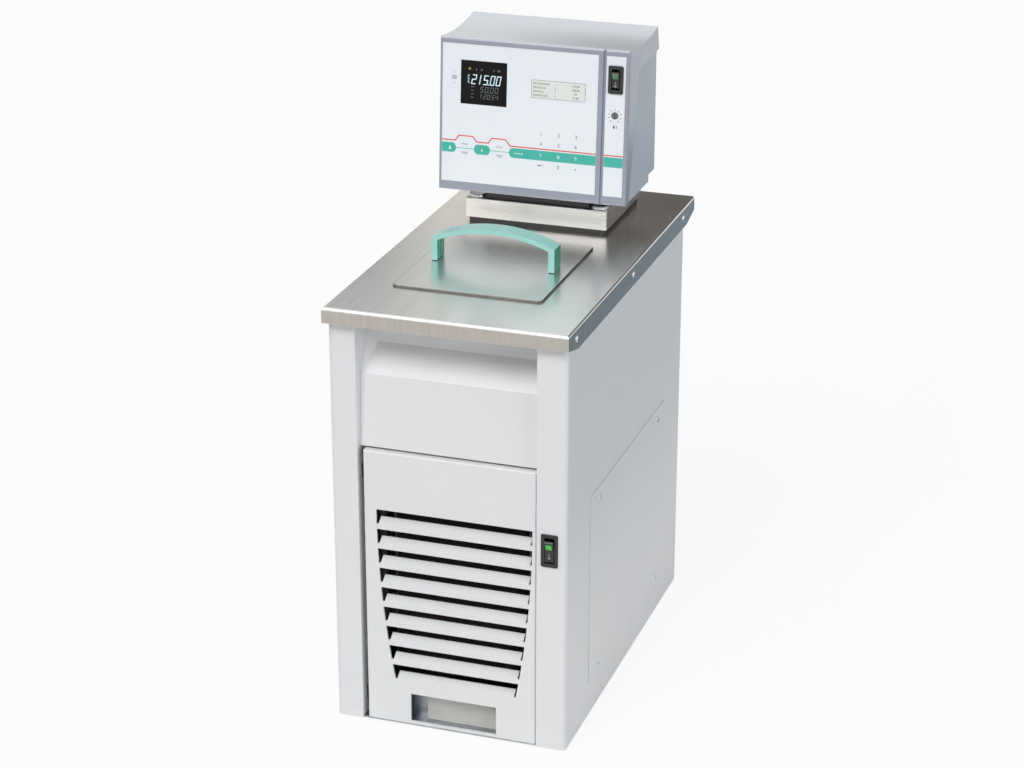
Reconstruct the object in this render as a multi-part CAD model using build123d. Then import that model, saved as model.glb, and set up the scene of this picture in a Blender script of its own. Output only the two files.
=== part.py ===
from build123d import *
import math
import os

# Heating and cooling circulator: a refrigerated cabinet with a stainless bath plate, a
# lift-off lid, and a head with the pump, the heater and the controls.
# Millimetres, +Z up. The origin is on the floor below the middle of the top plate, the
# front faces -Y, and +X is the viewer's right.

# Fits
loose_gap = 0.3
run_gap = 0.6

# Top plate
plate_length = 420.0
plate_top = 412.4
plate_sheet = 1.5
plate_bend = 3.0
plate_screw_front = 24.4
plate_screw_rear = 42.0
end_flange = 14.9
side_flange = 21.5
flange_ramp = 28.0

# Cabinet
cabinet_width = 225.0
side_overhang = 2.5
front_overhang = 7.4
rear_overhang = 28.5
skin = 1.2
cabinet_corner = 5.0
left_column = 26.0
right_column = 28.5
column_return = 36.0
top_rail = 13.0
foot_height = 1.5
foot_radius = 13.0
foot_inset = 30.0
pan_sheet = 1.5
pan_rim = 12.0

# Side and rear covers
cover_sheet = 0.9
cover_lap = 10.0
side_cover_front_margin = 71.6
side_cover_rear_margin = 61.5
side_cover_bottom = 36.0
side_cover_top = 227.0
rear_cover_margin = 17.5
rear_cover_bottom = 60.0
rear_cover_top = 330.0
rear_slots = 8
rear_slot_pitch = 14.0
rear_slot_width = 5.0
rear_slot_height = 90.0
screw_radius = 3.0
screw_head = 1.3
screw_inset = 11.0

# Recessed panel with the grip under the plate
panel_recess = 7.0
panel_lean = 4.0
panel_bottom = 278.0
grip_bottom = 347.3
grip_top = 370.0
grip_depth = 34.6
panel_lip = 9.0
gusset_run = 9.5
gusset_rise = 38.0

# Louvred grille panel
grille_inset = 1.2
grille_sheet = 2.0
grille_rim = 9.0
grille_bottom = 3.3
grille_top = 276.0
grille_side_gap = 5.0
grille_fit_gap = 0.8
grille_edge = 1.4
slot_count = 9
slot_pitch = 19.56
slot_height = 14.8
slot_top = 219.2
slot_left_land = 11.5
slot_right_land = 3.2
slot_taper_radius = 926.0
blade_depth = 7.6
blade_rise = 5.2
blade_sheet = 1.6
blade_end_gap = 2.0
window_center_x = 3.0
window_width = 84.0
window_bottom = 6.0
window_height = 28.5
pin_radius = 2.5
pin_length = 13.0
clip_low = 24.0
clip_high = 252.0
clip_height = 12.0
clip_depth = 7.0
clip_width = 16.0

# Kick plate behind the grip window
kick_setback = 16.6
kick_height = 40.0
kick_cover_left = -27.5

# Rocker switches
cabinet_switch_width = 16.0
cabinet_switch_height = 32.0
cabinet_switch_z = 203.0
cabinet_switch_inset = 16.0
head_switch_width = 14.6
head_switch_height = 26.6
switch_flange = 1.2
switch_wall = 1.7
switch_body_depth = 14.0
rocker_gap = 0.4
rocker_pivot_depth = 5.0
rocker_rise = 2.0
rocker_tilt = 7.0

# Bath
bath_x = -4.0
bath_width = 120.0
bath_setback = 82.0
bath_corner = 12.0
tank_sheet = 1.0
tank_margin = 6.0
tank_depth = 140.0
tank_corner = 18.0
tank_rim = 9.0
foam_wall = 24.0
foam_side_gap = 17.3
foam_floor = 25.0
coil_radius = 4.0
coil_inset = 9.0
coil_floor_gap = 13.0
coil_pitch = 14.0
coil_bend = 16.0
coil_exit_inset = 12.0

# Lid
lid_side_lap = 11.5
lid_front_lap = 11.0
lid_rear_lap = 10.0
lid_base_gap = 40.0
lid_corner = 5.0
lid_sheet = 1.0
lid_rim = 2.2
lid_plug_depth = 11.0
lid_plug_gap = 2.5

# Lid handle
handle_span = 119.6
handle_width = 19.0
handle_offset = 2.0
handle_post = 6.0
handle_post_height = 22.0
handle_arch_rise = 12.8
handle_thickness = 4.2
handle_washer = 0.8
handle_groove = 1.6
handle_screw_radius = 2.0

# Circulator base
base_width = 142.0
base_length = 118.0
base_setback = 30.0
base_height = 19.2
base_sheet = 1.2
plinth_height = 4.6
plinth_inset = 2.5
neck_height = 13.4
neck_width = 105.0
neck_wall = 4.0
neck_rear_wall = 6.0
drop_width = 96.0
drop_margin = 8.0
drop_length = 49.0
clamp_radius = 9.0
clamp_height = 3.4

# Circulator head
head_x = -2.0
head_width = 187.0
head_overhang = 22.0
head_height = 147.9
head_lean = 10.0
head_depth = 109.5
head_rear_height = 149.4
saddle_dip = 3.2
hood_foot = 12.0
hood_shoulder = 40.5
hood_shoulder_height = 122.4
hood_skirt_height = 126.4
hood_rear_lean = 5.5
hood_wall = 2.5
hood_edge = 2.5
casing_inset = 1.0
casing_wall = 2.0
casing_corner = 4.0
casing_step_length = 23.0
casing_step_height = 7.0
seam = 0.4
foil_pocket = 1.0
foil_sheet = 0.7
foil_bottom = 9.0
foil_height = 133.4
main_foil_left = -90.6
main_foil_width = 153.8
strip_foil_left = 70.8
strip_foil_width = 19.0
groove_width = 2.6
groove_depth = 1.6
vfd_center_x = -49.2
vfd_center_z = 106.1
vfd_width = 46.0
vfd_height = 42.0
lcd_center_x = 24.7
lcd_center_z = 105.3
lcd_width = 53.4
lcd_height = 17.6
head_switch_z = 120.4
dial_z = 86.4
dial_radius = 3.2
dial_slot = 1.0

# Pump, heater and probes
pump_x = -24.0
pump_setback = 30.0
pump_tube_radius = 10.0
pump_tube_wall = 1.5
pump_bottom = 292.0
volute_radius = 16.0
volute_height = 16.0
impeller_radius = 12.5
impeller_height = 7.0
impeller_blades = 6
shaft_radius = 3.0
motor_radius = 27.0
motor_height = 62.0
motor_bore_depth = 8.0
shaft_entry = 6.0
heater_half = 16.0
heater_radius = 3.2
heater_bend = 12.0
heater_turns = 2
heater_pitch = 12.0
heater_bottom = 316.0
heater_lead = 27.0
probe_x = 12.0
probe_setback = 18.0
probe_radius = 2.5
probe_length = 120.0
float_x = 30.0
float_setback = 30.0
float_radius = 9.0
float_height = 12.0
float_low = 372.0
stem_radius = 2.0

# Pump ports at the back of the base
port_spacing = 56.0
port_z = 427.0
port_radius = 6.5
port_bore = 4.0
port_length = 20.0
port_cap_radius = 9.5
port_cap_length = 16.0
port_cap_wall = 2.5

# Mains inlets
inlet_width = 28.0
inlet_height = 22.0
inlet_depth = 16.0
inlet_flange_width = 48.0
inlet_flange_height = 30.0
inlet_flange = 2.0
cabinet_inlet_inset = 52.5
cabinet_inlet_z = 36.0
head_inlet_x = 45.0
head_inlet_z = 490.0

# Refrigeration
condenser_left_gap = 54.5
condenser_right_gap = 42.5
condenser_setback = 22.6
condenser_depth = 30.0
condenser_bottom = 48.0
condenser_top = 226.0
condenser_end = 2.0
fin_count = 16
fin_groove_depth = 4.0
tube_rows = 5
bend_radius = 3.5
shroud_sheet = 1.5
shroud_ring = 12.0
fan_side_gap = 6.0
fan_tip_gap = 4.0
fan_hub_radius = 18.0
fan_hub_length = 16.0
fan_blades = 5
fan_chord = 36.0
fan_blade_sheet = 1.6
fan_pitch_angle = 32.0
fan_center_z = 137.0
fan_motor_radius = 26.0
fan_motor_length = 48.0
bracket_width = 54.0
bracket_sheet = 2.0
bracket_foot = 26.0
compressor_x = 10.0
compressor_setback = 86.5
compressor_radius = 64.0
compressor_foot_z = 16.0
compressor_foot_sheet = 3.0
compressor_height = 158.0
compressor_dome = 30.0
terminal_lap = 12.0
terminal_reach = 18.0
terminal_width = 44.0
terminal_bottom = 80.0
terminal_height = 50.0
compressor_foot_width = 150.0
compressor_foot_length = 112.0
grommet_radius = 10.0
drier_inset = 13.0
drier_setback = 172.6
drier_radius = 10.0
drier_bottom = 70.0
drier_length = 80.0
refrigerant_radius = 3.2
capillary_radius = 1.4
refrigerant_bend = 9.0
pipe_level = 236.0
pipe_inset = 10.0
port_offset = 20.0
discharge_level = 130.0
discharge_turn = 22.0
suction_level = 120.0
suction_turn = 18.0
suction_drop = 14.0
capillary_drop = 8.0
capillary_side = 35.0
capillary_loop = 20.0

# Drain
drain_offset = 18.0
drain_setback = 37.6
outlet_side_inset = 44.0
outlet_front_inset = 22.0
drain_radius = 4.5
drain_drop = 12.0
valve_size = 18.0
valve_bottom = 42.0
valve_height = 40.0
nozzle_length = 14.0
knob_radius = 9.0
knob_length = 10.0

# Circuit board in the head
board_x = -18.0
board_z = 88.0
board_width = 120.0
board_height = 80.0
board_sheet = 1.6
board_post_inset = 6.0
board_post_radius = 2.5
relay_width = 24.0
relay_height = 18.0
relay_depth = 12.0
relay_pitch = 30.0
relay_rise = 24.0

# Places worked out from the sizes above
plate_front = -plate_length / 2
plate_under = plate_top - plate_sheet
plate_width = cabinet_width + 2 * side_overhang
cabinet_side = cabinet_width / 2
cabinet_front = plate_front + front_overhang
cabinet_rear = plate_length / 2 - rear_overhang
pan_top = foot_height + pan_sheet
opening_left = -cabinet_side + left_column
opening_right = cabinet_side - right_column
grille_front = cabinet_front + grille_inset
grille_back = grille_front + grille_sheet
grille_left = opening_left + grille_side_gap
grille_right = opening_right - grille_fit_gap
slot_center_x = (grille_left + slot_left_land + grille_right - slot_right_land) / 2
slot_half_width = (grille_right - slot_right_land - grille_left - slot_left_land) / 2
kick_front = cabinet_front + kick_setback
grip_back = cabinet_front + grip_depth
side_cover_front = cabinet_front + side_cover_front_margin
side_cover_rear = cabinet_rear - side_cover_rear_margin
rear_cover_width = cabinet_width - 2 * rear_cover_margin
base_rear = plate_front + plate_length - base_setback
base_front = base_rear - base_length
drop_front = base_front + drop_margin
drop_rear = drop_front + drop_length
neck_rear = drop_rear + neck_rear_wall
bath_front = plate_front + bath_setback
bath_length = base_front - lid_base_gap - lid_rear_lap - bath_front
lid_top = plate_top + lid_rim
lid_width = bath_width + 2 * lid_side_lap
lid_front = bath_front - lid_front_lap
lid_rear = bath_front + bath_length + lid_rear_lap
handle_y = (lid_front + lid_rear) / 2 + handle_offset
tank_width = bath_width + 2 * tank_margin
tank_rear = drop_rear + tank_margin
tank_front = bath_front - tank_margin
tank_floor = plate_under - tank_depth
foam_bottom = tank_floor - foam_floor
coil_low = tank_floor + coil_floor_gap
coil_left = bath_x - tank_width / 2 + coil_inset
coil_right = bath_x + tank_width / 2 - coil_inset
coil_front = tank_front + coil_inset
coil_rear = tank_rear - coil_inset
coil_out_y = coil_rear - coil_exit_inset
coil_in_x = coil_left + coil_exit_inset
plinth_top = plate_top + plinth_height
base_top = plinth_top + base_height
head_bottom = base_top + neck_height
head_side = head_width / 2
head_front = base_front - head_overhang
head_rear = head_front + head_depth
lean_angle = math.degrees(math.atan(head_lean / head_height))
pump_y = base_front + pump_setback
probe_y = base_front + probe_setback
float_y = base_front + float_setback
cabinet_inlet_x = cabinet_inlet_inset - cabinet_side
condenser_left = condenser_left_gap - cabinet_side
condenser_right = cabinet_side - condenser_right_gap
condenser_x = (condenser_left + condenser_right) / 2
fan_radius = (condenser_right - condenser_left) / 2 - fan_side_gap
condenser_front = cabinet_front + condenser_setback
condenser_back = condenser_front + condenser_depth
compressor_y = cabinet_rear - compressor_setback
drier_x = condenser_left + drier_inset
drier_y = cabinet_front + drier_setback
drain_x = condenser_left - drain_offset
drain_y = cabinet_front + drain_setback
drain_outlet_x = bath_x - tank_width / 2 + outlet_side_inset
drain_outlet_y = tank_front + outlet_front_inset
fan_back = condenser_back + fan_hub_length + shroud_sheet
compressor_top = compressor_foot_z + compressor_foot_sheet + compressor_height
head_face = Plane(
    origin=(head_x, head_front, head_bottom),
    x_dir=(1, 0, 0),
    z_dir=(0, -math.cos(math.radians(lean_angle)), math.sin(math.radians(lean_angle))),
)


# Shapes used by many pieces

def slab(x0, x1, y0, y1, z0, z1):
    """Return a box between two corners."""
    middle = Pos((x0 + x1) / 2, (y0 + y1) / 2, (z0 + z1) / 2)
    return middle * Box(x1 - x0, y1 - y0, z1 - z0)


def round_slab(x0, x1, y0, y1, z0, z1, radius):
    """Return a box with rounded upright edges."""
    outline = RectangleRounded(x1 - x0, y1 - y0, radius)
    return extrude(Pos((x0 + x1) / 2, (y0 + y1) / 2, z0) * outline, amount=z1 - z0)


def prism_x(points, x0, x1):
    """Extrude a closed (y, z) outline from x0 to x1."""
    outline = make_face(Polyline(*points, close=True))
    return extrude(Plane.YZ.offset(x0) * outline, amount=x1 - x0)


def prism_y(points, y0, y1):
    """Extrude a closed (x, z) outline from y0 to y1."""
    outline = make_face(Polyline(*points, close=True))
    return extrude(Plane.XZ.offset(-y1) * outline, amount=y1 - y0)


def rod(start, end, radius):
    """Return a cylinder from one point to another."""
    axis = Vector(*end) - Vector(*start)
    return Solid.make_cylinder(radius, axis.length, Plane(origin=start, z_dir=axis))


def pipe(points, radius, bend):
    """Sweep a round section along straight runs joined by tangent arcs."""
    path = FilletPolyline(*points, radius=bend)
    section = Plane(origin=path @ 0, z_dir=path % 0) * Circle(radius)
    return sweep(section, path)


def edge_at(shape, point):
    """Return the edge whose middle is nearest to a point."""
    return min(shape.edges(), key=lambda edge: (edge.center() - Vector(*point)).length)


def corners(x0, x1, y0, y1):
    """Return the four corner points of a rectangle."""
    return [(x, y) for x in (x0, x1) for y in (y0, y1)]


def on_head_face(x, z, depth, shape):
    """Place a shape on the leaning front of the head, raised by depth."""
    return head_face.location * Pos(x, z, depth) * shape


# Cabinet

def cabinet_shell():
    """Folded steel wrap with two front columns, a top rail and openings for its covers."""
    low, high = foot_height, plate_under
    outer = round_slab(-cabinet_side, cabinet_side, cabinet_front, cabinet_rear, low, high,
                       cabinet_corner)
    inner = round_slab(-cabinet_side + skin, cabinet_side - skin, cabinet_front + skin,
                       cabinet_rear - skin, low, high, cabinet_corner - skin)
    shell = outer - inner
    shell -= slab(opening_left, opening_right, cabinet_front, cabinet_front + skin, low,
                  high - top_rail)
    return_rear = cabinet_front + column_return
    shell += slab(opening_left - skin, opening_left, cabinet_front, return_rear, pan_top, high)
    shell += slab(opening_right, opening_right + skin, cabinet_front, return_rear, pan_top, high)
    shell -= slab(cabinet_side - skin, cabinet_side, side_cover_front + cover_lap,
                  side_cover_rear - cover_lap, side_cover_bottom + cover_lap,
                  side_cover_top - cover_lap)
    shell -= slab(cover_lap - rear_cover_width / 2, rear_cover_width / 2 - cover_lap,
                  cabinet_rear - skin, cabinet_rear, rear_cover_bottom + cover_lap,
                  rear_cover_top - cover_lap)
    shell -= switch_hole(cabinet_switch_frame(), cabinet_switch_width, cabinet_switch_height)
    shell -= inlet_hole(cabinet_inlet_frame())
    return shell


def base_pan():
    """Bottom pan with an upturned rim at the sides and rear and a kick plate at the front."""
    left, right = -cabinet_side + skin, cabinet_side - skin
    front, rear = cabinet_front + skin + loose_gap, cabinet_rear - skin
    corner = cabinet_corner - skin
    pan = round_slab(left, right, front, rear, foot_height, pan_top + pan_rim, corner)
    inside = slab(left + pan_sheet, right - pan_sheet, front, rear - pan_sheet, pan_top,
                  pan_top + pan_rim)
    pan -= inside
    pan -= slab(left, right, front, front + column_return, pan_top, pan_top + pan_rim)
    side = kick_half_width()
    pan += slab(-side, side, kick_front, kick_front + pan_sheet, foot_height,
                pan_top + kick_height)
    return pan


def kick_half_width():
    """Half the kick plate's width, between the grille's clips."""
    return min(-opening_left, opening_right) - clip_width


def feet():
    """Four rubber pads under the pan."""
    x, front = cabinet_side - foot_inset, cabinet_front + foot_inset
    places = corners(-x, x, front, cabinet_rear - foot_inset)
    return Compound([rod((px, py, 0), (px, py, foot_height), foot_radius) for px, py in places])


def kick_cover():
    """Pale sheet in front of the kick plate, seen through the grip window."""
    return slab(kick_cover_left, kick_half_width(), kick_front - skin, kick_front, pan_top,
                pan_top + kick_height)


def screw(point, direction):
    """Return a low tapered screw head on a surface."""
    frame = Plane(origin=point, z_dir=direction)
    head = Cone(screw_radius, screw_radius * 0.6, screw_head,
                align=(Align.CENTER, Align.CENTER, Align.MIN))
    return frame.location * head


def side_cover():
    """Service cover laid over the opening in the right side."""
    return slab(cabinet_side, cabinet_side + cover_sheet, side_cover_front, side_cover_rear,
                side_cover_bottom, side_cover_top)


def side_cover_screws():
    """Four screws of the side cover."""
    places = corners(side_cover_front + 2.5 * screw_inset, side_cover_rear - 2.5 * screw_inset,
                     side_cover_bottom + screw_inset / 2, side_cover_top - screw_inset)
    return Compound([screw((cabinet_side + cover_sheet, y, z), (1, 0, 0)) for y, z in places])


def rear_cover():
    """Vented cover laid over the rear opening."""
    half = rear_cover_width / 2
    cover = slab(-half, half, cabinet_rear, cabinet_rear + cover_sheet, rear_cover_bottom,
                 rear_cover_top)
    low = rear_cover_bottom + 2 * cover_lap
    for index in range(rear_slots):
        x = (index - (rear_slots - 1) / 2) * rear_slot_pitch
        cover -= slab(x - rear_slot_width / 2, x + rear_slot_width / 2, cabinet_rear,
                      cabinet_rear + cover_sheet, low, low + rear_slot_height)
    return cover


def rear_cover_screws():
    """Four screws of the rear cover."""
    half = rear_cover_width / 2 - cover_lap / 2
    places = corners(-half, half, rear_cover_bottom + screw_inset, rear_cover_top - screw_inset)
    back = cabinet_rear + cover_sheet
    return Compound([screw((x, back, z), (0, 1, 0)) for x, z in places])


def upper_panel():
    """Recessed front panel that folds back into a hand grip under the plate."""
    face_top = cabinet_front + panel_recess + panel_lean
    front = [
        (cabinet_front + panel_recess + panel_lip, panel_bottom),
        (cabinet_front + panel_recess, panel_bottom),
        (face_top, grip_bottom),
        (grip_back, grip_top),
        (grip_back, plate_under),
    ]
    path = Plane.YZ * Polyline(*front)
    band = path.wire().offset_2d(skin, kind=Kind.INTERSECTION, side=Side.RIGHT, closed=True)
    sheet = extrude(Pos(opening_left, 0, 0) * make_face(band),
                    amount=opening_right - opening_left, dir=(1, 0, 0))
    for side, x in ((1, opening_left), (-1, opening_right)):
        foot = (x, face_top, grip_bottom)
        inner = (x + side * gusset_run, grip_back, grip_top)
        head = (x, grip_back, grip_bottom + gusset_rise)
        corner = (x, grip_back, grip_top)
        sheet += tetrahedron(foot, inner, head, corner)
    return sheet


def tetrahedron(a, b, c, d):
    """Return the solid between four points."""
    faces = [Face(Wire.make_polygon(trio, close=True))
             for trio in ((a, b, c), (a, c, d), (a, d, b), (b, d, c))]
    return Solid(Shell(faces))


# Louvred grille panel

def slot_half(z):
    """Half the width of the louvre field at a height: an arc that draws in downwards."""
    return slot_half_width - (slot_top - z) ** 2 / (2 * slot_taper_radius)


def slot_tops():
    """Return the top edge of every slot, from the highest down."""
    return [slot_top - index * slot_pitch for index in range(slot_count)]


def grille_panel():
    """Pull-off front panel: nine slots that draw in downwards, each with a sloping blade."""
    panel = slab(grille_left, grille_right, grille_front, grille_front + grille_rim,
                 grille_bottom, grille_top)
    panel -= slab(grille_left + grille_sheet, grille_right - grille_sheet, grille_back,
                  grille_front + grille_rim, grille_bottom, grille_top - grille_sheet)
    rounded = [edge_at(panel, ((grille_left + grille_right) / 2, grille_front, grille_top)),
               edge_at(panel, (grille_left, grille_front, (grille_bottom + grille_top) / 2)),
               edge_at(panel, (grille_right, grille_front, (grille_bottom + grille_top) / 2))]
    panel = fillet(rounded, min(grille_edge, grille_sheet * 0.9))
    for top in slot_tops():
        panel -= louvre_slot(top)
        panel += louvre_blade(top)
    window_left = window_center_x - window_width / 2
    panel -= slab(window_left, window_left + window_width, grille_front, grille_back,
                  window_bottom, window_bottom + window_height)
    for x, z in clip_places():
        panel += rod((x, grille_back, z), (x, grille_back + pin_length, z), pin_radius)
    return panel


def louvre_slot(top):
    """One slot, its ends following the taper."""
    low = top - slot_height
    outline = [(slot_center_x - slot_half(top), top), (slot_center_x + slot_half(top), top),
               (slot_center_x + slot_half(low), low), (slot_center_x - slot_half(low), low)]
    return prism_y(outline, grille_front, grille_back)


def louvre_blade(top):
    """One blade, from the slot's lower edge back and up behind it."""
    low = top - slot_height
    half = slot_half(low) - blade_end_gap
    root = slot_pitch - slot_height
    profile = [(grille_front, low), (grille_front + blade_depth, low + blade_rise),
               (grille_front + blade_depth, low + blade_rise - blade_sheet),
               (grille_back, low - root / 2), (grille_front, low - root / 2)]
    return prism_x(profile, slot_center_x - half, slot_center_x + half)


def clip_places():
    """Return the (x, z) places of the grille's four pins."""
    reach = clip_width / 2
    return corners(opening_left + reach + pin_radius, opening_right - reach - pin_radius,
                   clip_low, clip_high)


def grille_clips():
    """Four sockets on the column returns that hold the grille's pins."""
    front = grille_front + grille_rim + loose_gap
    blocks = []
    for x, z in clip_places():
        wall = opening_left if x < 0 else opening_right
        far = x + math.copysign(pin_radius + 2 * loose_gap + skin, -wall)
        block = slab(min(wall, far), max(wall, far), front, front + clip_depth,
                     z - clip_height / 2, z + clip_height / 2)
        bore = rod((x, front - 1, z), (x, front + clip_depth + 1, z), pin_radius + loose_gap)
        blocks.append(block - bore)
    return Compound(blocks)


# Rocker switches

def cabinet_switch_frame():
    """Frame on the right column's face, looking out of it."""
    return Plane(origin=(cabinet_side - cabinet_switch_inset, cabinet_front, cabinet_switch_z),
                 x_dir=(1, 0, 0), z_dir=(0, -1, 0))


def head_switch_frame():
    """Frame on the strip foil of the head, looking out of it."""
    x = strip_foil_left + strip_foil_width / 2
    origin = head_face.from_local_coords((x, head_switch_z, foil_sheet - foil_pocket))
    return Plane(origin=origin, x_dir=head_face.x_dir, z_dir=head_face.z_dir)


def switch_hole(frame, width, height):
    """Panel cut-out for the body of a rocker switch."""
    inset = 2 * (switch_wall - loose_gap)
    return frame.location * Box(width - inset, height - inset, 4 * switch_body_depth)


def switch_bezel(frame, width, height):
    """Switch body: a flange on the panel, a snap-in case behind it, open for the rocker."""
    flange = extrude(RectangleRounded(width, height, switch_wall), amount=switch_flange)
    case = Pos(0, 0, -switch_body_depth) * Box(
        width - 2 * switch_wall, height - 2 * switch_wall, switch_body_depth,
        align=(Align.CENTER, Align.CENTER, Align.MIN))
    cavity_width = width - 4 * switch_wall
    cavity_height = height - 4 * switch_wall
    floor = -rocker_pivot_depth - 2 * rocker_rise
    cavity = Pos(0, 0, floor) * Box(cavity_width, cavity_height, 4 * switch_body_depth,
                                    align=(Align.CENTER, Align.CENTER, Align.MIN))
    return frame.location * (flange + case - cavity)


def rocker(frame, width, height):
    """Rocker with a shallow V on top and ends rounded about its pivot."""
    half_width = width / 2 - 2 * switch_wall - rocker_gap
    reach = height / 2 - 2 * switch_wall - rocker_gap
    crest = switch_flange + rocker_rise
    outline = [(-reach, crest), (0, switch_flange), (reach, crest),
               (reach / 2, -rocker_pivot_depth - rocker_rise),
               (-reach / 2, -rocker_pivot_depth - rocker_rise)]
    body = prism_x(outline, -half_width, half_width)
    sweep_radius = reach
    barrel = rod((-half_width, 0, -rocker_pivot_depth), (half_width, 0, -rocker_pivot_depth),
                 math.hypot(sweep_radius, rocker_pivot_depth / 2))
    turned = Pos(0, 0, -rocker_pivot_depth) * Rot(rocker_tilt, 0, 0)
    turned = turned * Pos(0, 0, rocker_pivot_depth)
    return frame.location * turned * (body & barrel)


# Mains inlets

def cabinet_inlet_frame():
    """Frame on the cabinet's rear, looking out of it."""
    return Plane(origin=(cabinet_inlet_x, cabinet_rear, cabinet_inlet_z), x_dir=(-1, 0, 0),
                 z_dir=(0, 1, 0))


def head_inlet_frame():
    """Frame on the head's rear, looking out of it."""
    return Plane(origin=(head_inlet_x, casing_rear(), head_inlet_z), x_dir=(-1, 0, 0),
                 z_dir=(0, 1, 0))


def inlet_hole(frame):
    """Panel cut-out for a mains inlet."""
    return frame.location * Box(inlet_width + loose_gap, inlet_height + loose_gap,
                                4 * inlet_depth)


def mains_inlet(frame):
    """Appliance inlet: a flange outside, a cup behind it, and three flat pins."""
    flange = extrude(RectangleRounded(inlet_flange_width, inlet_flange_height, inlet_flange),
                     amount=inlet_flange)
    cup = Pos(0, 0, -inlet_depth) * Box(inlet_width, inlet_height, inlet_depth,
                                        align=(Align.CENTER, Align.CENTER, Align.MIN))
    well = Pos(0, 0, inlet_flange - inlet_depth) * Box(
        inlet_width - 2 * inlet_flange, inlet_height - 2 * inlet_flange, inlet_depth,
        align=(Align.CENTER, Align.CENTER, Align.MIN))
    inlet = flange + cup - well
    for x, y in ((-7.0, -2.0), (0.0, 3.0), (7.0, -2.0)):
        inlet += Pos(x, y, inlet_flange - inlet_depth) * Box(
            2.0, 4.0, inlet_depth * 0.6, align=(Align.CENTER, Align.CENTER, Align.MIN))
    return frame.location * inlet


# Top plate and bath

def top_plate():
    """Stainless plate with folded flanges, the bath opening and the opening below the head."""
    half = plate_width / 2
    low = plate_top - side_flange
    plate = slab(-half, half, plate_front, -plate_front, low, plate_top)
    top_edges = plate.faces().sort_by(Axis.Z)[-1].edges()
    plate = fillet(top_edges, plate_bend)
    plate -= slab(plate_sheet - half, half - plate_sheet, plate_front + plate_sheet,
                  -plate_front - plate_sheet, low, plate_under)
    end_low = plate_top - end_flange
    ramp_end = -plate_front - flange_ramp
    for side in (-1, 1):
        ramp = [(side * -plate_front, low - 1), (side * -plate_front, end_low),
                (side * (-plate_front - plate_sheet), end_low), (side * ramp_end, low),
                (side * ramp_end, low - 1)]
        plate -= prism_x(ramp, -half, half)
    plate -= round_slab(bath_x - bath_width / 2, bath_x + bath_width / 2, bath_front,
                        bath_front + bath_length, plate_under, plate_top, bath_corner)
    plate -= round_slab(bath_x - drop_width / 2, bath_x + drop_width / 2, drop_front, drop_rear,
                        plate_under, plate_top, bath_corner)
    return plate


def plate_screws():
    """Three screws along each side flange."""
    z = plate_top - side_flange / 2
    heads = []
    for side in (-1, 1):
        first, last = plate_front + plate_screw_front, -plate_front - plate_screw_rear
        for y in (first, (first + last) / 2, last):
            heads.append(screw((side * plate_width / 2, y, z), (side, 0, 0)))
    return Compound(heads)


def tank_body(grow, top):
    """Return the tank's outer form, grown by a wall."""
    half = tank_width / 2 + grow
    return round_slab(bath_x - half, bath_x + half, tank_front - grow, tank_rear + grow,
                      tank_floor - grow, top, tank_corner + grow)


def drain_hole(radius, low, high):
    """Upright bore at the tank's outlet."""
    return rod((drain_outlet_x, drain_outlet_y, low), (drain_outlet_x, drain_outlet_y, high),
               radius)


def coil_holes(low, high):
    """Upright bores for the two ends of the cooling coil."""
    radius = coil_radius + loose_gap
    bores = [rod((x, y, low), (x, y, high), radius) for x, y in coil_exits()]
    return bores[0] + bores[1]


def coil_exits():
    """Return where the two ends of the cooling coil leave the tank."""
    return [(coil_right, coil_out_y), (coil_in_x, coil_in_y())]


def coil_in_y():
    """Depth of the coil's upper end, clear of the heater."""
    return pump_y - heater_lead - 2 * coil_radius


def bath_tank():
    """Deep-drawn tank with a rim under the plate."""
    tank = tank_body(tank_sheet, plate_under) - tank_body(0, plate_under)
    half = tank_width / 2 + tank_rim
    rim = round_slab(bath_x - half, bath_x + half, tank_front - tank_rim, tank_rear + tank_rim,
                     plate_under - tank_sheet, plate_under, tank_corner + tank_rim)
    tank += rim - tank_body(0, plate_under)
    tank -= drain_hole(drain_radius - 1, tank_floor - 2 * tank_sheet, tank_floor)
    tank -= coil_holes(tank_floor - 2 * tank_sheet, tank_floor + tank_sheet)
    return tank


def tank_foam():
    """Foam block around the tank."""
    half = cabinet_side - skin - foam_side_gap
    top = plate_under - tank_sheet
    foam = slab(-half, half, tank_front - foam_wall, tank_rear + foam_wall, foam_bottom, top)
    foam -= tank_body(tank_sheet, top)
    foam -= drain_hole(drain_radius + loose_gap, foam_bottom, tank_floor)
    foam -= coil_holes(foam_bottom, tank_floor)
    return foam


def cooling_coil():
    """Evaporator: two turns of tube along the tank's walls, both ends down through its floor."""
    step = coil_pitch / 4
    points = [(coil_right, coil_out_y, foam_bottom), (coil_right, coil_out_y, coil_low)]
    loop = [(coil_right, coil_front), (coil_left, coil_front), (coil_left, coil_rear),
            (coil_right, coil_rear)]
    for index in range(7):
        x, y = loop[index % 4]
        points.append((x, y, coil_low + index * step))
    top = coil_low + 7 * step
    points[-1] = (coil_left, coil_in_y(), top)
    points.append((coil_in_x, coil_in_y(), top))
    points.append((coil_in_x, coil_in_y(), foam_bottom))
    bends = [coil_radius * 1.5] + [coil_bend] * 6 + [coil_radius * 1.4] * 2
    return pipe(points, coil_radius, bends)


# Lid

def lid():
    """Pressed lid: a shallow turned-down pan with a locating plug below it."""
    left, right = bath_x - lid_width / 2, bath_x + lid_width / 2
    pan = round_slab(left, right, lid_front, lid_rear, plate_top, lid_top, lid_corner)
    pan = fillet(pan.faces().sort_by(Axis.Z)[-1].edges(), lid_sheet)
    pan -= round_slab(left + lid_sheet, right - lid_sheet, lid_front + lid_sheet,
                      lid_rear - lid_sheet, plate_top, lid_top - lid_sheet,
                      lid_corner - lid_sheet)
    return pan + lid_plug(0) - lid_plug(lid_sheet)


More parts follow.
